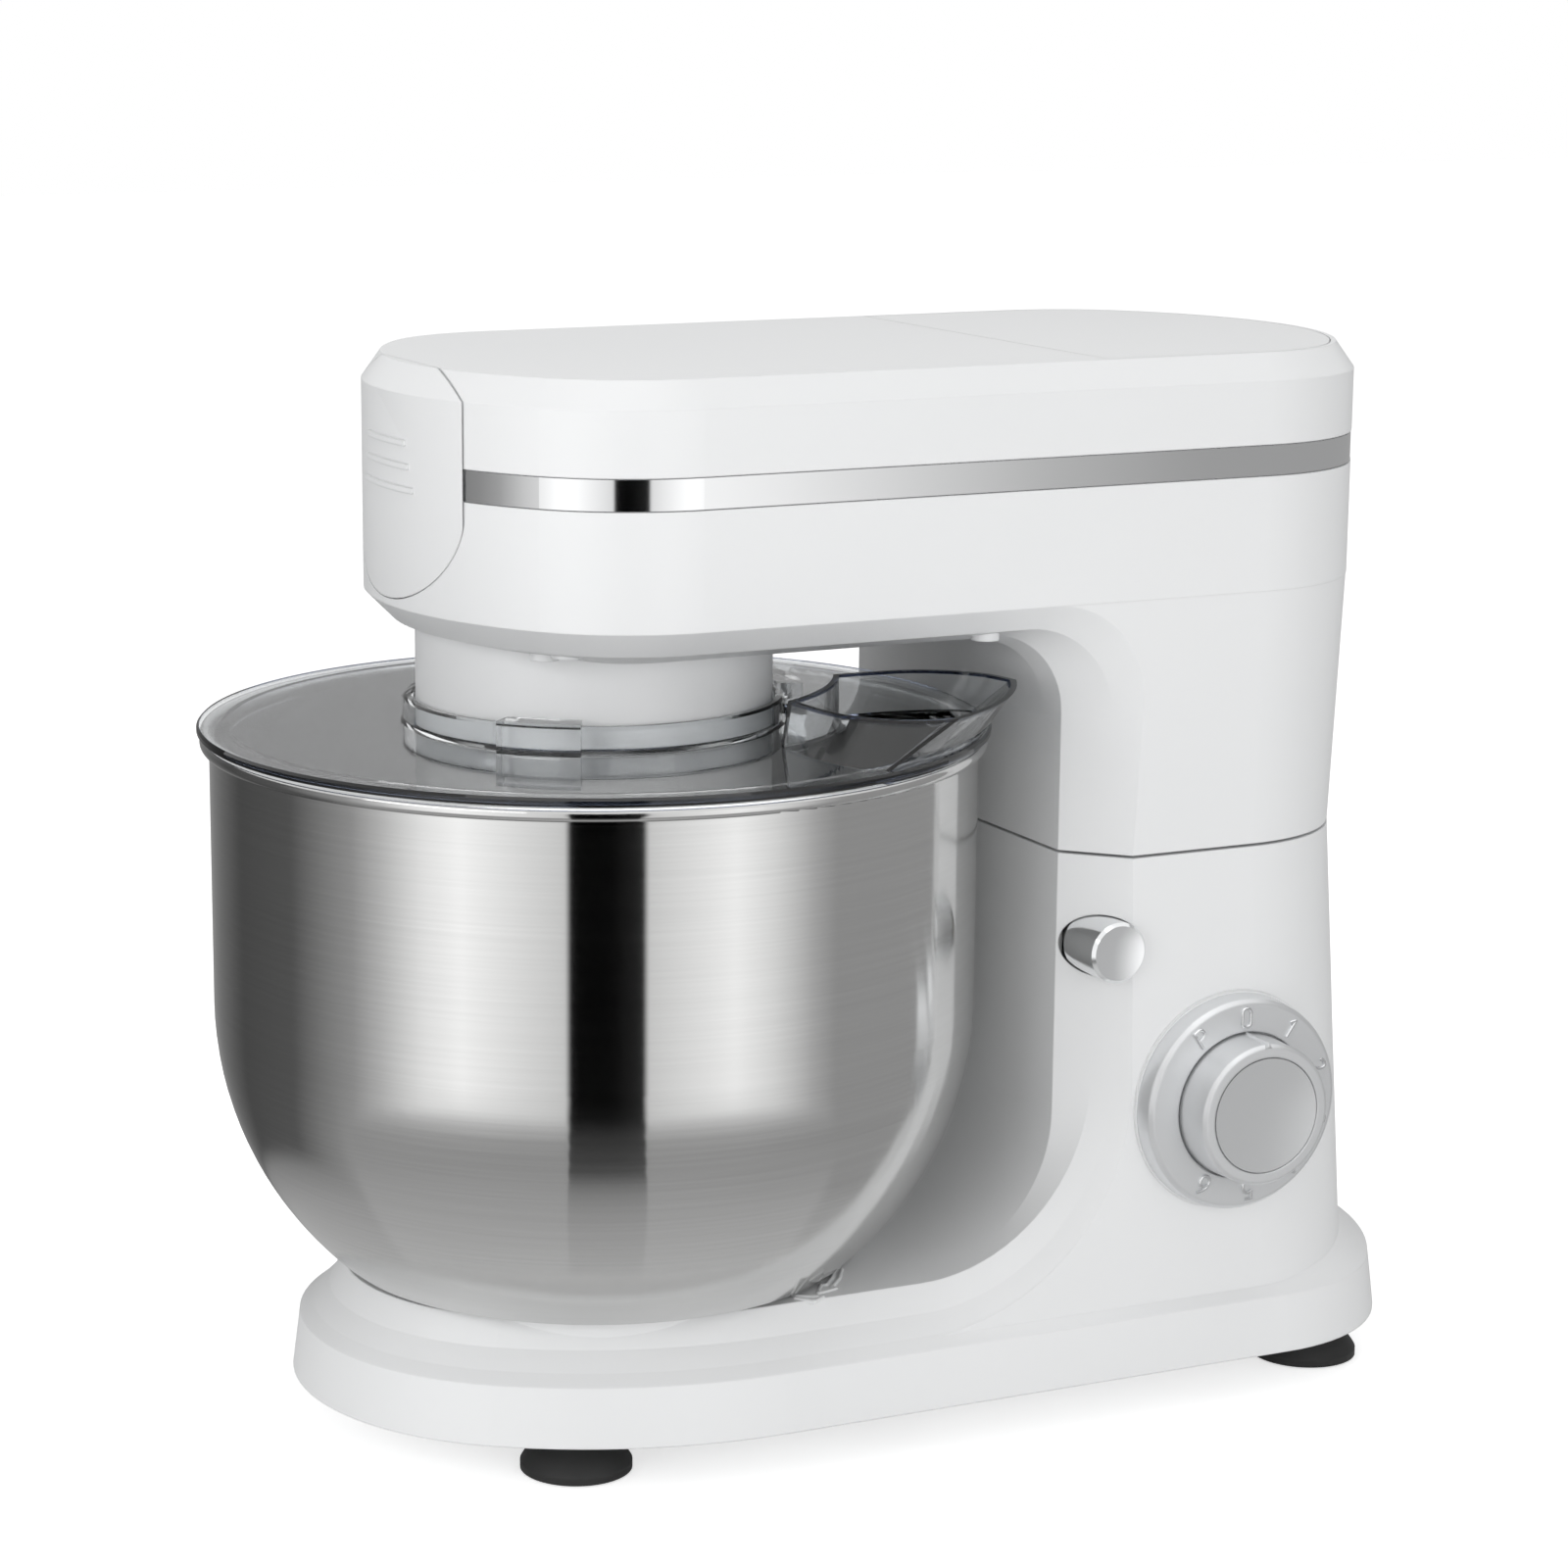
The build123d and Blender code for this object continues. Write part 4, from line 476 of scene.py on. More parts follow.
# %% Satin silver, with a painted highlight
satin_silver_painted_highlight = finish(
    "satin_silver_painted_highlight",
    moulded,
    # Lighter than the finish alone: painted highlight for the bright reflection on the hollow faces
    dark=(0.86, 0.87, 0.88),
    light=(0.9, 0.91, 0.92),
    values={"Grain Scale": 2600.0, "Rough Low": 0.12, "Rough High": 0.17},
    bump=0.06,
    depth=0.00005,
    metallic=0.85,
    edge=0.0,
)
same_way = 0.9993  # cosine of about two degrees, the most by which the two normals may differ
tree = satin_silver_painted_highlight.node_tree
surface = tree.nodes.new("ShaderNodeNewGeometry")
agreement = tree.nodes.new("ShaderNodeVectorMath")
agreement.operation = "DOT_PRODUCT"
tree.links.new(surface.outputs["Normal"], agreement.inputs[0])
tree.links.new(surface.outputs["True Normal"], agreement.inputs[1])
spoiled = math_node(tree, "LESS_THAN", agreement.outputs["Value"], same_way)
even = tree.nodes.new("ShaderNodeMix")
even.data_type = "VECTOR"
tree.links.new(spoiled, even.inputs["Factor"])
tree.links.new(surface.outputs["Normal"], even.inputs["A"])
tree.links.new(surface.outputs["True Normal"], even.inputs["B"])
tree.links.new(even.outputs["Result"], tree.nodes["Bump"].inputs["Normal"])
dress(satin_silver_painted_highlight, "knob_insert", "release_button")

# %% Silver of the raised numerals, lighter for a painted highlight
numeral_silver_painted_highlight = finish(
    "numeral_silver_painted_highlight",
    moulded,
    # Lighter than the bezel's silver: a painted highlight on the thin ribs
    dark=(0.8, 0.81, 0.82),
    light=(0.86, 0.87, 0.88),
    values={"Grain Scale": 2600.0, "Rough Low": 0.12, "Rough High": 0.18},
    bump=0.05,
    depth=0.00005,
    metallic=1.0,
    edge=0.0,
)
print("finish", numeral_silver_painted_highlight.name)

# %% [markdown]
# Suction cups, cord gland and belt are black rubber. Real rubber is never quite black, and a coarse grain
# breaks its gloss, so both tones lie just above black and the bump is stronger.

# %% Rubber
rubber = finish(
    "black_rubber",
    moulded,
    dark=(0.012, 0.012, 0.012),
    light=(0.022, 0.022, 0.022),
    values={"Grain Scale": 900.0, "Rough Low": 0.5, "Rough High": 0.65},
    bump=0.3,
    depth=0.0001,
)
dress(rubber, *[name for name in nodes if name.startswith("suction_cup")])
dress(rubber, "cord_gland", "drive_belt", "speed_switch")

# %% [markdown]
# The strip round the head is plated and almost a mirror. It has little colour of its own, so what counts
# is that it is smooth: hardly any bump, and no Bevel, which would bend what it mirrors near its edges.

# %% Bright strip
bright = finish(
    "bright_strip",
    moulded,
    dark=(0.78, 0.785, 0.79),
    light=(0.83, 0.835, 0.84),
    values={"Grain Scale": 300.0, "Rough Low": 0.06, "Rough High": 0.1},
    bump=0.01,
    depth=0.00002,
    metallic=1.0,
    edge=0.0,
)
dress(bright, "chrome_strip")

# %% [markdown]
# The bowl is brushed steel: fine lines run round it and smear what it mirrors across them. A picture of
# scratches would need unwrapping and would stretch; noise read in radius and height gives such lines at
# any size. The smear itself is the shader's anisotropy. Carrier and shafts are turned too, but rougher.

# %% Bowl and other turned metal
bowl_steel = finish(
    "bowl_steel",
    turned,
    dark=(0.57, 0.57, 0.565),
    light=(0.69, 0.69, 0.685),
    values={"Line Scale": 1000.0, "Rough Low": 0.08, "Rough High": 0.15},
    bump=0.1,
    depth=0.00003,
    metallic=1.0,
    edge=0.0,
)
brushed = bowl_steel.node_tree.nodes["Principled BSDF"]
brushed.inputs["Anisotropic"].default_value = 1.0
brushed.inputs["Anisotropic Rotation"].default_value = 0.25
dress(bowl_steel, "bowl")
carrier_steel = finish(
    "carrier_steel",
    turned,
    dark=(0.52, 0.52, 0.53),
    light=(0.6, 0.6, 0.61),
    values={"Line Scale": 1800.0, "Rough Low": 0.2, "Rough High": 0.32},
    bump=0.2,
    depth=0.00005,
    metallic=1.0,
)
dress(carrier_steel, "planet_carrier", "carrier_shaft", "carrier_bearings", "bowl_lock")
tool_x = -0.1  # the tool shaft's axis at rest
shaft_steel = finish(
    "shaft_steel",
    turned,
    dark=(0.5, 0.5, 0.51),
    light=(0.58, 0.58, 0.59),
    values={"Axis X": tool_x, "Line Scale": 2200.0, "Rough Low": 0.18, "Rough High": 0.3},
    bump=0.2,
    depth=0.00004,
    metallic=1.0,
)
dress(shaft_steel, "dough_hook", "tool_shaft", "tool_pin", "lay_shaft", "lay_bearing")
dress(shaft_steel, "hinge_pin", "knob_spindle", "base_screws", "gear_plate_screws")
dress(shaft_steel, "button_spring", "lay_pinion", "motor_pulley")

# %% [markdown]
# Inside are cast and pressed plates, nylon gears, the motor's iron and copper, bronze bushes and a
# control board. Little of this shows, and only with a cover off or the head up, so each takes the moulded
# group again with its own values: coarser for castings, finer for nylon.

# %% Inner metal, nylon and board
cast = finish(
    "cast_aluminium",
    moulded,
    dark=(0.55, 0.555, 0.56),
    light=(0.66, 0.665, 0.67),
    values={"Grain Scale": 700.0, "Rough Low": 0.28, "Rough High": 0.42},
    bump=0.25,
    depth=0.0001,
    metallic=1.0,
)
dress(cast, "gear_plate", "hinge_plate", "hinge_post", "motor_frame", "motor_bridge", "latch_bracket")
nylon = finish(
    "gear_nylon",
    moulded,
    dark=(0.72, 0.7, 0.63),
    light=(0.78, 0.765, 0.7),
    values={"Grain Scale": 800.0, "Rough Low": 0.4, "Rough High": 0.5},
    bump=0.15,
    depth=0.0001,
)
dress(nylon, "ring_gear", "planet_gear", "drive_gear", "large_pulley", "motor_fan", "latch_bar")
iron = finish(
    "stator_iron",
    moulded,
    dark=(0.1, 0.1, 0.105),
    light=(0.17, 0.17, 0.175),
    values={"Grain Scale": 500.0, "Rough Low": 0.4, "Rough High": 0.6},
    bump=0.3,
    depth=0.0002,
    metallic=0.8,
)
dress(iron, "motor_stator")
bronze = finish(
    "bronze_and_copper",
    moulded,
    dark=(0.5, 0.29, 0.14),
    light=(0.62, 0.38, 0.19),
    values={"Grain Scale": 600.0, "Rough Low": 0.25, "Rough High": 0.4},
    bump=0.2,
    depth=0.0001,
    metallic=1.0,
)
dress(bronze, "motor_armature", "motor_bushes", "tool_bush")
board_green = finish(
    "board_green",
    moulded,
    dark=(0.03, 0.16, 0.07),
    light=(0.05, 0.21, 0.09),
    values={"Grain Scale": 900.0, "Rough Low": 0.3, "Rough High": 0.4},
    bump=0.1,
    depth=0.0001,
)
dress(board_green, "control_board")

# %% [markdown]
# ## The clear guard
# The guard is one clear moulding: a lid with a low collar, three grip tabs and a filling chute. The solid
# one has flat chute walls, which is enough to hold things apart but shows through clear plastic, where
# the real walls swell outwards and the chute's corners run slantwise down to the lid's edge. So the guard
# is made again for the eye, from a turned profile and lofted outlines. Overlapping pieces would leave
# walls inside the clear plastic, so Booleans join them into one skin.


# %% Closed shapes
crease_angle = radians(28)


def turned_solid(name, profile, steps):
    """Ring with this closed profile of radius and height, round the bowl's axis."""
    build = bmesh.new()
    turns = [2 * pi * step / steps for step in range(steps)]
    hoops = []
    for radius, height in profile:
        hoops.append([build.verts.new((bowl_x + radius * cos(a), radius * sin(a), height)) for a in turns])
    for inner, outer in zip(hoops, hoops[1:] + hoops[:1]):
        bridge(build, inner, outer)
    return mesh_object(name, build)


def lofted_solid(name, foot, mouth):
    """Closed solid between two outlines with the same number of points."""
    build = bmesh.new()
    low = [build.verts.new(point) for point in foot]
    high = [build.verts.new(point) for point in mouth]
    build.faces.new(low)
    build.faces.new(high)
    bridge(build, low, high)
    return mesh_object(name, build)


def smooth_skin(piece):
    """Smooth shading that keeps edges sharper than the crease angle."""
    for face in piece.data.polygons:
        face.use_smooth = True
    piece.data.set_sharp_from_angle(angle=crease_angle)


def combine(base, tool, operation):
    """Join tool to base or cut it out, and take tool away."""
    joint = base.modifiers.new("combine", "BOOLEAN")
    joint.operation = operation
    joint.solver = "EXACT"
    joint.object = tool
    bpy.context.view_layer.update()
    result = base.evaluated_get(bpy.context.evaluated_depsgraph_get())
    mesh = bpy.data.meshes.new_from_object(result)
    base.modifiers.clear()
    base.data = mesh
    bpy.data.objects.remove(tool)


# %% Lid and collar
guard_low, guard_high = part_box("splash_guard")
chute_rise = 0.0125
lid_radius = (guard_high[0] - guard_low[0]) / 2
chute_rim = guard_high[2]
lid_top = chute_rim - chute_rise
lid_edge = 0.0025
lid_plate = 0.002
collar_rise = 0.0074
collar_top = lid_top + collar_rise
collar_radius = 0.0549
collar_inner = 0.0519
skirt_radius = 0.107
skirt_inner = 0.105
edge_round = 0.0007
guard_profile = [
    (collar_inner, lid_top - lid_plate),
    (collar_inner, collar_top - edge_round),
    (collar_inner + edge_round, collar_top),
    (collar_radius - edge_round, collar_top),
    (collar_radius, collar_top - edge_round),
    (collar_radius, lid_top + edge_round),
    (collar_radius + edge_round, lid_top),
    (lid_radius - edge_round, lid_top),
    (lid_radius, lid_top - edge_round),
    (lid_radius, lid_top - lid_edge + edge_round),
    (lid_radius - edge_round, lid_top - lid_edge),
    (skirt_radius, lid_top - lid_edge),
    (skirt_radius, guard_low[2]),
    (skirt_inner, guard_low[2]),
    (skirt_inner, lid_top - lid_plate),
]
guard = turned_solid("clear_guard", guard_profile, steps=180)
print("lid", len(guard.data.polygons), "faces")

# %% Grip tabs
tab_reach = 0.0604
tab_rise = 0.0091
tab_top = lid_top + tab_rise
tab_inner = collar_inner + 0.001  # inside the collar's wall
tab_angles = (-128.6, -8.6, 111.4)
tab_half = 11.5
tab_steps = 12
for middle_angle in tab_angles:
    loop = []
    for radius, way in ((tab_reach, 1), (tab_inner, -1)):
        for step in range(tab_steps + 1):
            angle = radians(middle_angle + way * tab_half * (2 * step / tab_steps - 1))
            loop.append((bowl_x + radius * cos(angle), radius * sin(angle)))
    foot = [(x, y, lid_top - lid_plate / 2) for x, y in loop]
    mouth = [(x, y, tab_top) for x, y in loop]
    combine(guard, lofted_solid("grip_tab", foot, mouth), "UNION")
print("lid and tabs", len(guard.data.polygons), "faces")

# %% [markdown]
# The chute's walls are curved in plan and lean outwards, so neither a turned profile nor flat faces can
# give them. Its outline is drawn twice, where it stands on the lid and at its mouth, each from a few
# points on one side that are smoothed and mirrored. A loft between the two is the chute, and a loft
# between the same outlines, drawn in by the wall's thickness, is what is cut out of it.

# %% Outlines of the filling chute
chute_angle = radians(-43.5)
chute_wall = 0.0018
# One side of the chute where it stands on the lid and at its mouth: out from the bowl's axis, and across
foot_side = [(0.0640, 0.0250), (0.0720, 0.0340), (0.0840, 0.0430), (0.0930, 0.0475), (0.1005, 0.0485)]
mouth_side = [(0.0650, 0.0220), (0.0755, 0.0314), (0.0850, 0.0375), (0.0960, 0.0398), (0.1070, 0.0380)]
mouth_side += [(0.1165, 0.0315)]
side_steps = 20
end_steps = 14
sharpest = 0.5  # limits how far a sharp corner is drawn in


def smooth_run(points, steps):
    """Points along a smooth curve through these points."""
    ends = [points[0]] + points + [points[-1]]
    run = []
    for step in range(steps + 1):
        along = step / steps * (len(points) - 1)
        start = min(int(along), len(points) - 2)
        t = along - start
        a, b, c, d = (Vector(p) for p in ends[start : start + 4])
        bend = (2 * a - 5 * b + 4 * c - d) * t * t + (3 * b - a - 3 * c + d) * t**3
        run.append((2 * b + (c - a) * t + bend) / 2)
    return run


def arc_run(start, end, bow, steps):
    """Points from start to end, bulging away from the bowl's axis by bow at the middle."""
    run = []
    for step in range(1, steps):
        t = step / steps
        spot = Vector(start).lerp(Vector(end), t)
        spot.x += bow * (1 - (2 * t - 1) ** 2)
        run.append(spot)
    return run


def chute_outline(side, outer_bow, near_bow, inset):
    """Outline in the chute's own axes: out from the bowl's axis, and across; inset draws it in."""
    right = smooth_run(side, side_steps)
    left = [Vector((p.x, -p.y)) for p in right]
    outline = left + arc_run(left[-1], right[-1], outer_bow, end_steps)
    outline += right[::-1] + arc_run(right[0], left[0], near_bow, end_steps)
    drawn = []
    for before, spot, after in zip(outline[-1:] + outline[:-1], outline, outline[1:] + outline[:1]):
        run_in, run_out = (spot - before).normalized(), (after - spot).normalized()
        inward = Vector((-run_in.y - run_out.y, run_in.x + run_out.x)).normalized()
        drawn.append(spot + inward * inset / max(sharpest, inward.dot(Vector((-run_in.y, run_in.x)))))
    return drawn


def placed_outline(outline, height):
    """Turn an outline to the chute's angle and put it at this height."""
    spots = []
    for p in outline:
        x = bowl_x + p.x * cos(chute_angle) - p.y * sin(chute_angle)
        spots.append((x, p.x * sin(chute_angle) + p.y * cos(chute_angle), height))
    return spots


# %% Filling chute
# How far the chute's outer and near ends bulge away from the bowl's axis
foot_bows = 0.0112, 0.0045
mouth_bows = 0.005, 0.0032
shell = [chute_outline(foot_side, *foot_bows, 0.0), chute_outline(mouth_side, *mouth_bows, 0.0)]
hollow = [chute_outline(foot_side, *foot_bows, chute_wall)]
hollow.append(chute_outline(mouth_side, *mouth_bows, chute_wall))
plate_middle = lid_top - lid_plate / 2
past = 0.05  # the hollow runs this share of the chute's height past both ends
above = [b + (b - a) * past for a, b in zip(*hollow)]
foot, mouth = placed_outline(shell[0], plate_middle), placed_outline(shell[1], chute_rim)
combine(guard, lofted_solid("chute_shell", foot, mouth), "UNION")
low_level = lid_top - past * chute_rise
high_level = chute_rim + past * chute_rise
foot, mouth = placed_outline(hollow[0], low_level), placed_outline(above, high_level)
combine(guard, lofted_solid("chute_hollow", foot, mouth), "DIFFERENCE")
print("chute", len(guard.data.polygons), "faces")

# %% Hole under the chute
# It keeps inside the skirt: an arc stands in for the part of the outline that lies beyond
skirt_play = 0.0008
hole_reach = skirt_inner - skirt_play
hole_ledge = 0.0006  # left of the lid all round inside the chute
hole_lap = 0.0003  # the hole's top reaches this far into the hollow
inside = chute_outline(foot_side, *foot_bows, chute_wall + hole_ledge)
inside = [spot for spot in inside if spot.length < hole_reach]
turn = next(place for place, spot in enumerate(inside) if spot.y > 0)
chord = [inside[turn - 1].lerp(inside[turn], step / end_steps) for step in range(1, end_steps)]
hole = inside[:turn] + [spot.normalized() * hole_reach for spot in chord] + inside[turn:]
foot, mouth = placed_outline(hole, lid_top - 2 * lid_plate), placed_outline(hole, low_level + hole_lap)
combine(guard, lofted_solid("chute_hole", foot, mouth), "DIFFERENCE")
smooth_skin(guard)
print("guard", len(guard.data.polygons), "faces", [round(v, 4) for v in guard.dimensions])

# %% [markdown]
# Glass settings alone make clear plastic look like thick window glass, so the refraction index is that of
# plastic. Its edges look dark blue-grey, where the light runs a long way inside the sheet. That dark is
# painted shade here: a mask finds the lid's edge and the chute's rim by radius and height, and paints a
# dark blue-grey into the colour there.

# %% Painted shade at the guard's edges
# Mask of the lid's edge and the chute's rim, where a dark blue-grey shade is painted
edged, edged_in, edged_out = new_group(
    "painted_edge_shade",
    [("Lid Radius", 0.11), ("Lid Top", 0.2), ("Chute Rim", 0.21), ("Width", 0.0008)],
    ["Edge"],
)
split = edged.nodes.new("ShaderNodeSeparateXYZ")
edged.links.new(edged.nodes.new("ShaderNodeTexCoord").outputs["Object"], split.inputs[0])
across = math_node(edged, "SUBTRACT", split.outputs["X"], bowl_x)
reach = math_node(edged, "MULTIPLY", across, across)
reach = math_node(edged, "ADD", reach, math_node(edged, "MULTIPLY", split.outputs["Y"], split.outputs["Y"]))
reach = math_node(edged, "SQRT", reach, 0.0)
inner_edge = math_node(edged, "SUBTRACT", edged_in.outputs["Lid Radius"], edged_in.outputs["Width"])
on_lid = math_node(edged, "GREATER_THAN", reach, inner_edge)
above_lid = math_node(edged, "SUBTRACT", split.outputs["Z"], edged_in.outputs["Width"])
under_top = math_node(edged, "LESS_THAN", above_lid, edged_in.outputs["Lid Top"])
on_lid = math_node(edged, "MULTIPLY", on_lid, under_top)
below_rim = math_node(edged, "ADD", split.outputs["Z"], edged_in.outputs["Width"])
on_rim = math_node(edged, "GREATER_THAN", below_rim, edged_in.outputs["Chute Rim"])
edged.links.new(math_node(edged, "MAXIMUM", on_lid, on_rim), edged_out.inputs["Edge"])
print("group", edged.name, "lid radius", round(lid_radius, 4))

# %% Clear plastic
clear = bpy.data.materials.new("clear_plastic")
clear.use_nodes = True
tree = clear.node_tree
shader = tree.nodes["Principled BSDF"]
shader.inputs["Transmission Weight"].default_value = 1.0
shader.inputs["IOR"].default_value = 1.49
skin = tree.nodes.new("ShaderNodeGroup")
skin.node_tree = moulded
skin.inputs["Grain Scale"].default_value = 60.0
skin.inputs["Rough Low"].default_value = 0.01
skin.inputs["Rough High"].default_value = 0.03
height = tree.nodes.new("ShaderNodeBump")
height.inputs["Strength"].default_value = 0.03
height.inputs["Distance"].default_value = 0.0003
tree.links.new(skin.outputs["Roughness"], shader.inputs["Roughness"])
tree.links.new(skin.outputs["Grain"], height.inputs["Height"])
tree.links.new(height.outputs["Normal"], shader.inputs["Normal"])
rim = tree.nodes.new("ShaderNodeGroup")
rim.node_tree = edged
rim.inputs["Lid Radius"].default_value = lid_radius
rim.inputs["Lid Top"].default_value = lid_top
rim.inputs["Chute Rim"].default_value = chute_rim
# The plastic's own faint colour, mixed with a painted dark blue-grey shade at the lid's edge and the chute's
# rim
edge_shade_mix = tree.nodes.new("ShaderNodeMix")
edge_shade_mix.data_type = "RGBA"
edge_shade_mix.inputs["A"].default_value = (0.965, 0.98, 0.99, 1.0)
edge_shade_mix.inputs["B"].default_value = (0.045, 0.06, 0.11, 1.0)
tree.links.new(rim.outputs["Edge"], edge_shade_mix.inputs["Factor"])
tree.links.new(edge_shade_mix.outputs["Result"], shader.inputs["Base Color"])
guard.data.materials.clear()
guard.data.materials.append(clear)
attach(guard, "guard")
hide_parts("splash_guard")
dress(clear, "splash_guard")

# %% [markdown]
# ## Marks on the dial
# The bezel carries raised numerals, 0 at the top and then 1 to 6 clockwise, with a P for short pulses on
# the other side. A text object would bring its own heavy letter shapes, so each numeral is drawn as a few
# strokes in a box one unit high, and each stroke becomes a thin round rib that sits partly sunk in the
# bezel's face.

# %% Ribs from strokes
bezel_low, bezel_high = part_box("dial_bezel")
bezel_face = bezel_low[1]
dial_x = (bezel_low[0] + bezel_high[0]) / 2
dial_z = (bezel_low[2] + bezel_high[2]) / 2
print("dial axis", round(dial_x, 4), round(dial_z, 4))


def rib_mesh(name, strokes, radius, material):
    """One mesh of round ribs; a stroke is its points and whether it is closed."""
    curve = bpy.data.curves.new(name, "CURVE")
    curve.dimensions = "3D"
    curve.bevel_depth = radius
    curve.bevel_resolution = 2
    curve.use_fill_caps = True
    curve.resolution_u = 6
    for points, closed in strokes:
        spline = curve.splines.new("NURBS")
        spline.points.add(len(points) - 1)
        for point, place in zip(spline.points, points):
            point.co = (*place, 1.0)
        spline.use_cyclic_u = closed
        spline.use_endpoint_u = not closed
        spline.order_u = 3
    holder = bpy.data.objects.new(name, curve)
    mesh = bpy.data.meshes.new_from_object(holder)
    bpy.data.objects.remove(holder)
    bpy.data.curves.remove(curve)
    mesh.materials.clear()
    mesh.materials.append(material)
    for face in mesh.polygons:
        face.use_smooth = True
    piece = bpy.data.objects.new(name, mesh)
    scene.collection.objects.link(piece)
    return piece


# %% Strokes of the numerals
corner = 2  # a point given this many times makes a sharp corner
numeral_strokes = {
    "P": [[(0.1, 0.0)] + [(0.1, 1.0)] * corner + [(0.62, 1.0), (0.62, 0.48), (0.1, 0.48)]],
    "0": [
        [(0.3, 1.0), (0.04, 1.0), (0.04, 0.5), (0.04, 0.0), (0.3, 0.0)],
        [(0.3, 1.0), (0.56, 1.0), (0.56, 0.5), (0.56, 0.0), (0.3, 0.0)],
    ],
    "1": [[(0.12, 0.74)] + [(0.38, 1.0)] * corner + [(0.38, 0.0)]],
    "2": [[(0.06, 0.78), (0.1, 1.02), (0.54, 1.02), (0.56, 0.62)] + [(0.05, 0.0)] * corner + [(0.57, 0.0)]],
    "3": [
        [(0.06, 0.9), (0.3, 1.06), (0.6, 0.9), (0.5, 0.54), (0.24, 0.54)],
        [(0.24, 0.54), (0.62, 0.52), (0.58, 0.0), (0.2, -0.06), (0.04, 0.16)],
    ],
    "4": [[(0.44, 0.0)] + [(0.44, 1.0)] * corner + [(0.02, 0.3)] * corner + [(0.62, 0.3)]],
    "5": [
        [(0.54, 1.0)] + [(0.14, 1.0)] * corner + [(0.1, 0.54)] * corner,
        [(0.1, 0.54), (0.34, 0.7), (0.64, 0.5), (0.54, -0.04), (0.2, -0.06), (0.04, 0.14)],
    ],
    "6": [
        [(0.48, 1.0), (0.1, 0.74), (0.0, 0.2), (0.22, -0.04)]
        + [(0.56, 0.02), (0.6, 0.52), (0.24, 0.64), (0.06, 0.36)],
    ],
}
print("strokes", sum(len(strokes) for strokes in numeral_strokes.values()))

# %% Numerals on the bezel
numeral_height = 0.0055
numeral_radius = 0.0262  # middle of the numerals, from the dial's axis
numeral_rib = 0.0005
numeral_lift = 0.0002  # the ribs' middle stands this far in front of the face
middle_u, middle_v = 0.31, 0.5  # middle of a numeral in its box
numeral_angles = {"P": -35, "0": 0, "1": 35, "2": 70, "3": 105, "4": 140, "5": 175, "6": 210}
for numeral, angle in numeral_angles.items():
    across = Vector((cos(radians(angle)), 0.0, -sin(radians(angle))))
    outward = Vector((sin(radians(angle)), 0.0, cos(radians(angle))))
    spot = Vector((dial_x, bezel_face - numeral_lift, dial_z)) + numeral_radius * outward
    strokes = []
    for points in numeral_strokes[numeral]:
        offsets = [(u - middle_u) * across + (v - middle_v) * outward for u, v in points]
        strokes.append(([spot + numeral_height * offset for offset in offsets], False))
    rib = rib_mesh("numeral_" + numeral, strokes, numeral_rib, numeral_silver_painted_highlight)
    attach(rib, "base")
print("numerals", "".join(numeral_angles))

# %% [markdown]
# ## Pointer on the knob
# A small ridge at the top of the knob shows the setting. It runs along the knob's side and over its front
# edge, so it is a long prism with a sharp crest, made point by point, and it turns with the knob.

# %% Pointer ridge
knob_low, knob_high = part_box("speed_knob")
knob_top = knob_high[2]
ridge_half = 0.0011
ridge_rise = 0.0007
ridge_sink = 0.0012
ridge_nose = 0.0004  # the crest reaches its full height this far behind its front end
ridge_proud = 0.0003  # in front of the knob's face
ridge_gap = 0.0002  # clear of the bezel, which doesn't turn
ridge_front = knob_low[1] - ridge_proud
ridge_back = bezel_face - ridge_gap
ridge_mesh = bmesh.new()
rows = []
for depth in (ridge_front, ridge_front + ridge_nose, ridge_back):
    rise = 0.0 if depth == ridge_front else ridge_rise
    left = ridge_mesh.verts.new((dial_x - ridge_half, depth, knob_top - ridge_sink))
    crest = ridge_mesh.verts.new((dial_x, depth, knob_top + rise))
    right = ridge_mesh.verts.new((dial_x + ridge_half, depth, knob_top - ridge_sink))
    rows.append((left, crest, right))
for near, away in zip(rows, rows[1:]):
    ridge_mesh.faces.new((near[0], near[1], away[1], away[0]))
    ridge_mesh.faces.new((near[1], near[2], away[2], away[1]))
    ridge_mesh.faces.new((near[2], near[0], away[0], away[2]))
ridge_mesh.faces.new((rows[0][2], rows[0][1], rows[0][0]))
ridge_mesh.faces.new((rows[-1][0], rows[-1][1], rows[-1][2]))
pointer = mesh_object("knob_pointer", ridge_mesh)
pointer.data.materials.append(silver)
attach(pointer, "knob")
print("pointer", round(ridge_back - ridge_front, 4), "m long")

# %% [markdown]
# ## The knob's insert
# The photograph's shading runs from grey to white across the insert, so its face is hollow, and deeper
# than the solid's. It is turned again here from even rings, within the thickness of the solid one.

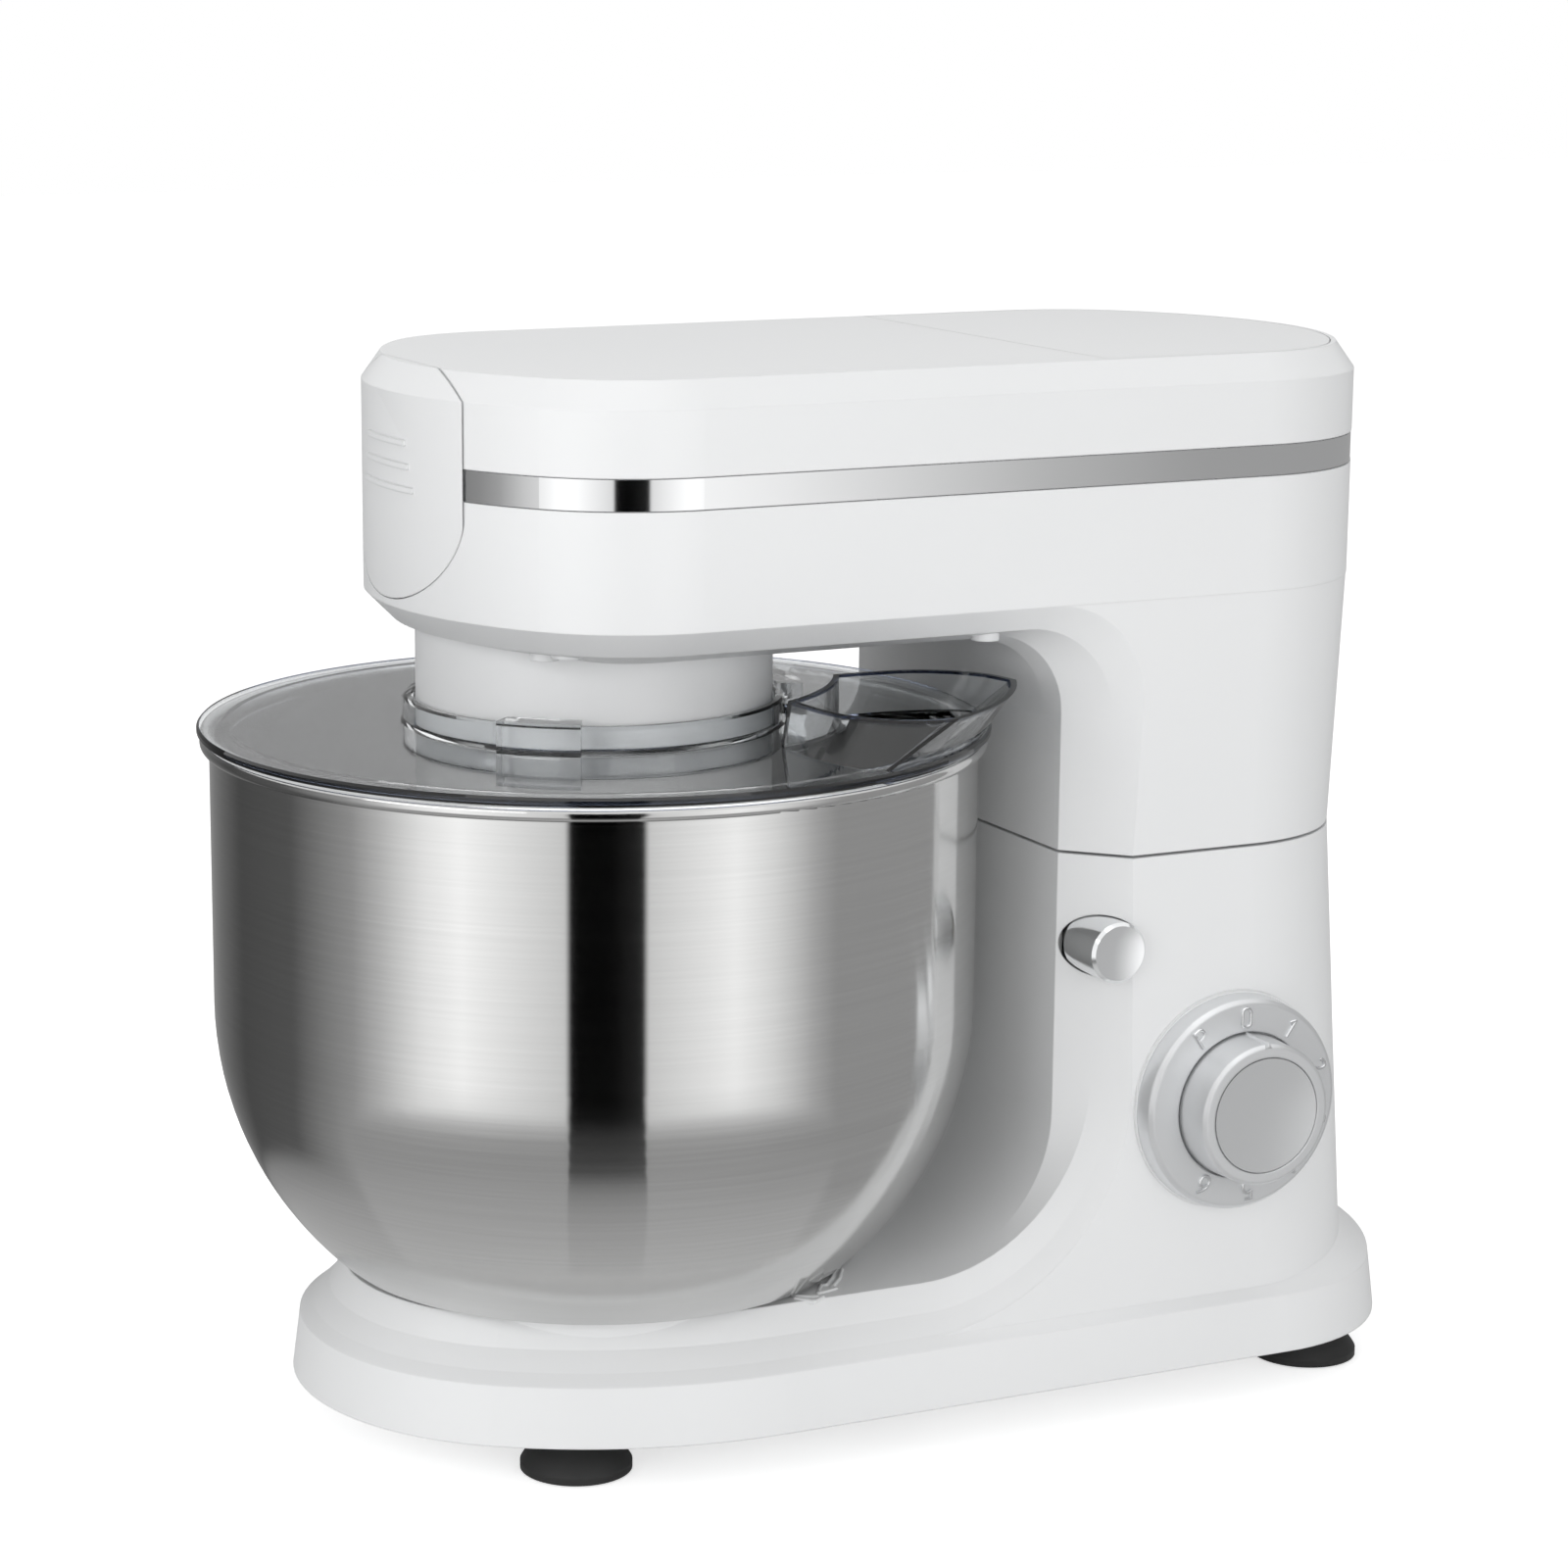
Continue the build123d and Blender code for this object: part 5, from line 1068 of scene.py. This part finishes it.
# %% Hollow insert
insert_low, insert_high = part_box("knob_insert")
insert_radius = (insert_high[0] - insert_low[0]) / 2
insert_hollow = 0.0013
insert_rings = 16
insert_steps = 96
insert_profile = []
for ring_step in range(1, insert_rings + 1):
    share_out = ring_step / insert_rings
    insert_profile.append((insert_radius * share_out, insert_low[1] + insert_hollow * (1 - share_out**2)))
insert_profile.append((insert_radius, insert_high[1]))
insert_turns = [2 * pi * step / insert_steps for step in range(insert_steps)]
build = bmesh.new()
hoops = []
for away, depth in insert_profile:
    places = [(dial_x + away * cos(a), depth, dial_z + away * sin(a)) for a in insert_turns]
    hoops.append([build.verts.new(place) for place in places])
deepest = build.verts.new((dial_x, insert_low[1] + insert_hollow, dial_z))
build.faces.new(hoops[-1])
for near, after in zip(hoops[0], hoops[0][1:] + hoops[0][:1]):
    build.faces.new((deepest, near, after))
for inner, outer in zip(hoops, hoops[1:]):
    bridge(build, inner, outer)
insert = mesh_object("hollow_insert", build)
smooth_skin(insert)
insert.data.materials.append(satin_silver_painted_highlight)
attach(insert, "knob")
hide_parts("knob_insert")
print("insert", len(insert.data.polygons), "faces")

# %% [markdown]
# ## Turning arrows beside the bowl's seat
# Two raised outlines on the platform show which way the bowl turns to lock: a curved arrow and the wedge
# that it points at. They follow circles round the bowl's axis, so they are drawn in angle and radius and
# then placed.

# %% Arrow outlines
platform = 0.0465
arrow_rib = 0.0006
arrow_out = 0.0035  # clear of the bowl
# Corners as angle and radius round the bowl's axis
arrow_outline = [(-42, 0.0722), (-48, 0.074), (-53.6, 0.075), (-54.2, 0.0768), (-59.0, 0.0746)]
arrow_outline += [(-53.6, 0.0716), (-53.2, 0.073), (-48, 0.0718), (-42.6, 0.0702)]
wedge_outline = [(-63.5, 0.0698), (-61.3, 0.0748), (-59.9, 0.0772), (-63.4, 0.0775), (-64.3, 0.0716)]
arrows = []
for outline in (arrow_outline, wedge_outline):
    placed = []
    for angle, radius in outline:
        placed += [round_the_bowl(angle, radius + arrow_out, platform)] * corner
    arrows.append((placed, True))
arrow = rib_mesh("lock_arrows", arrows, arrow_rib, white)
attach(arrow, "base")
print("arrows", [round(v, 4) for v in arrow.dimensions])
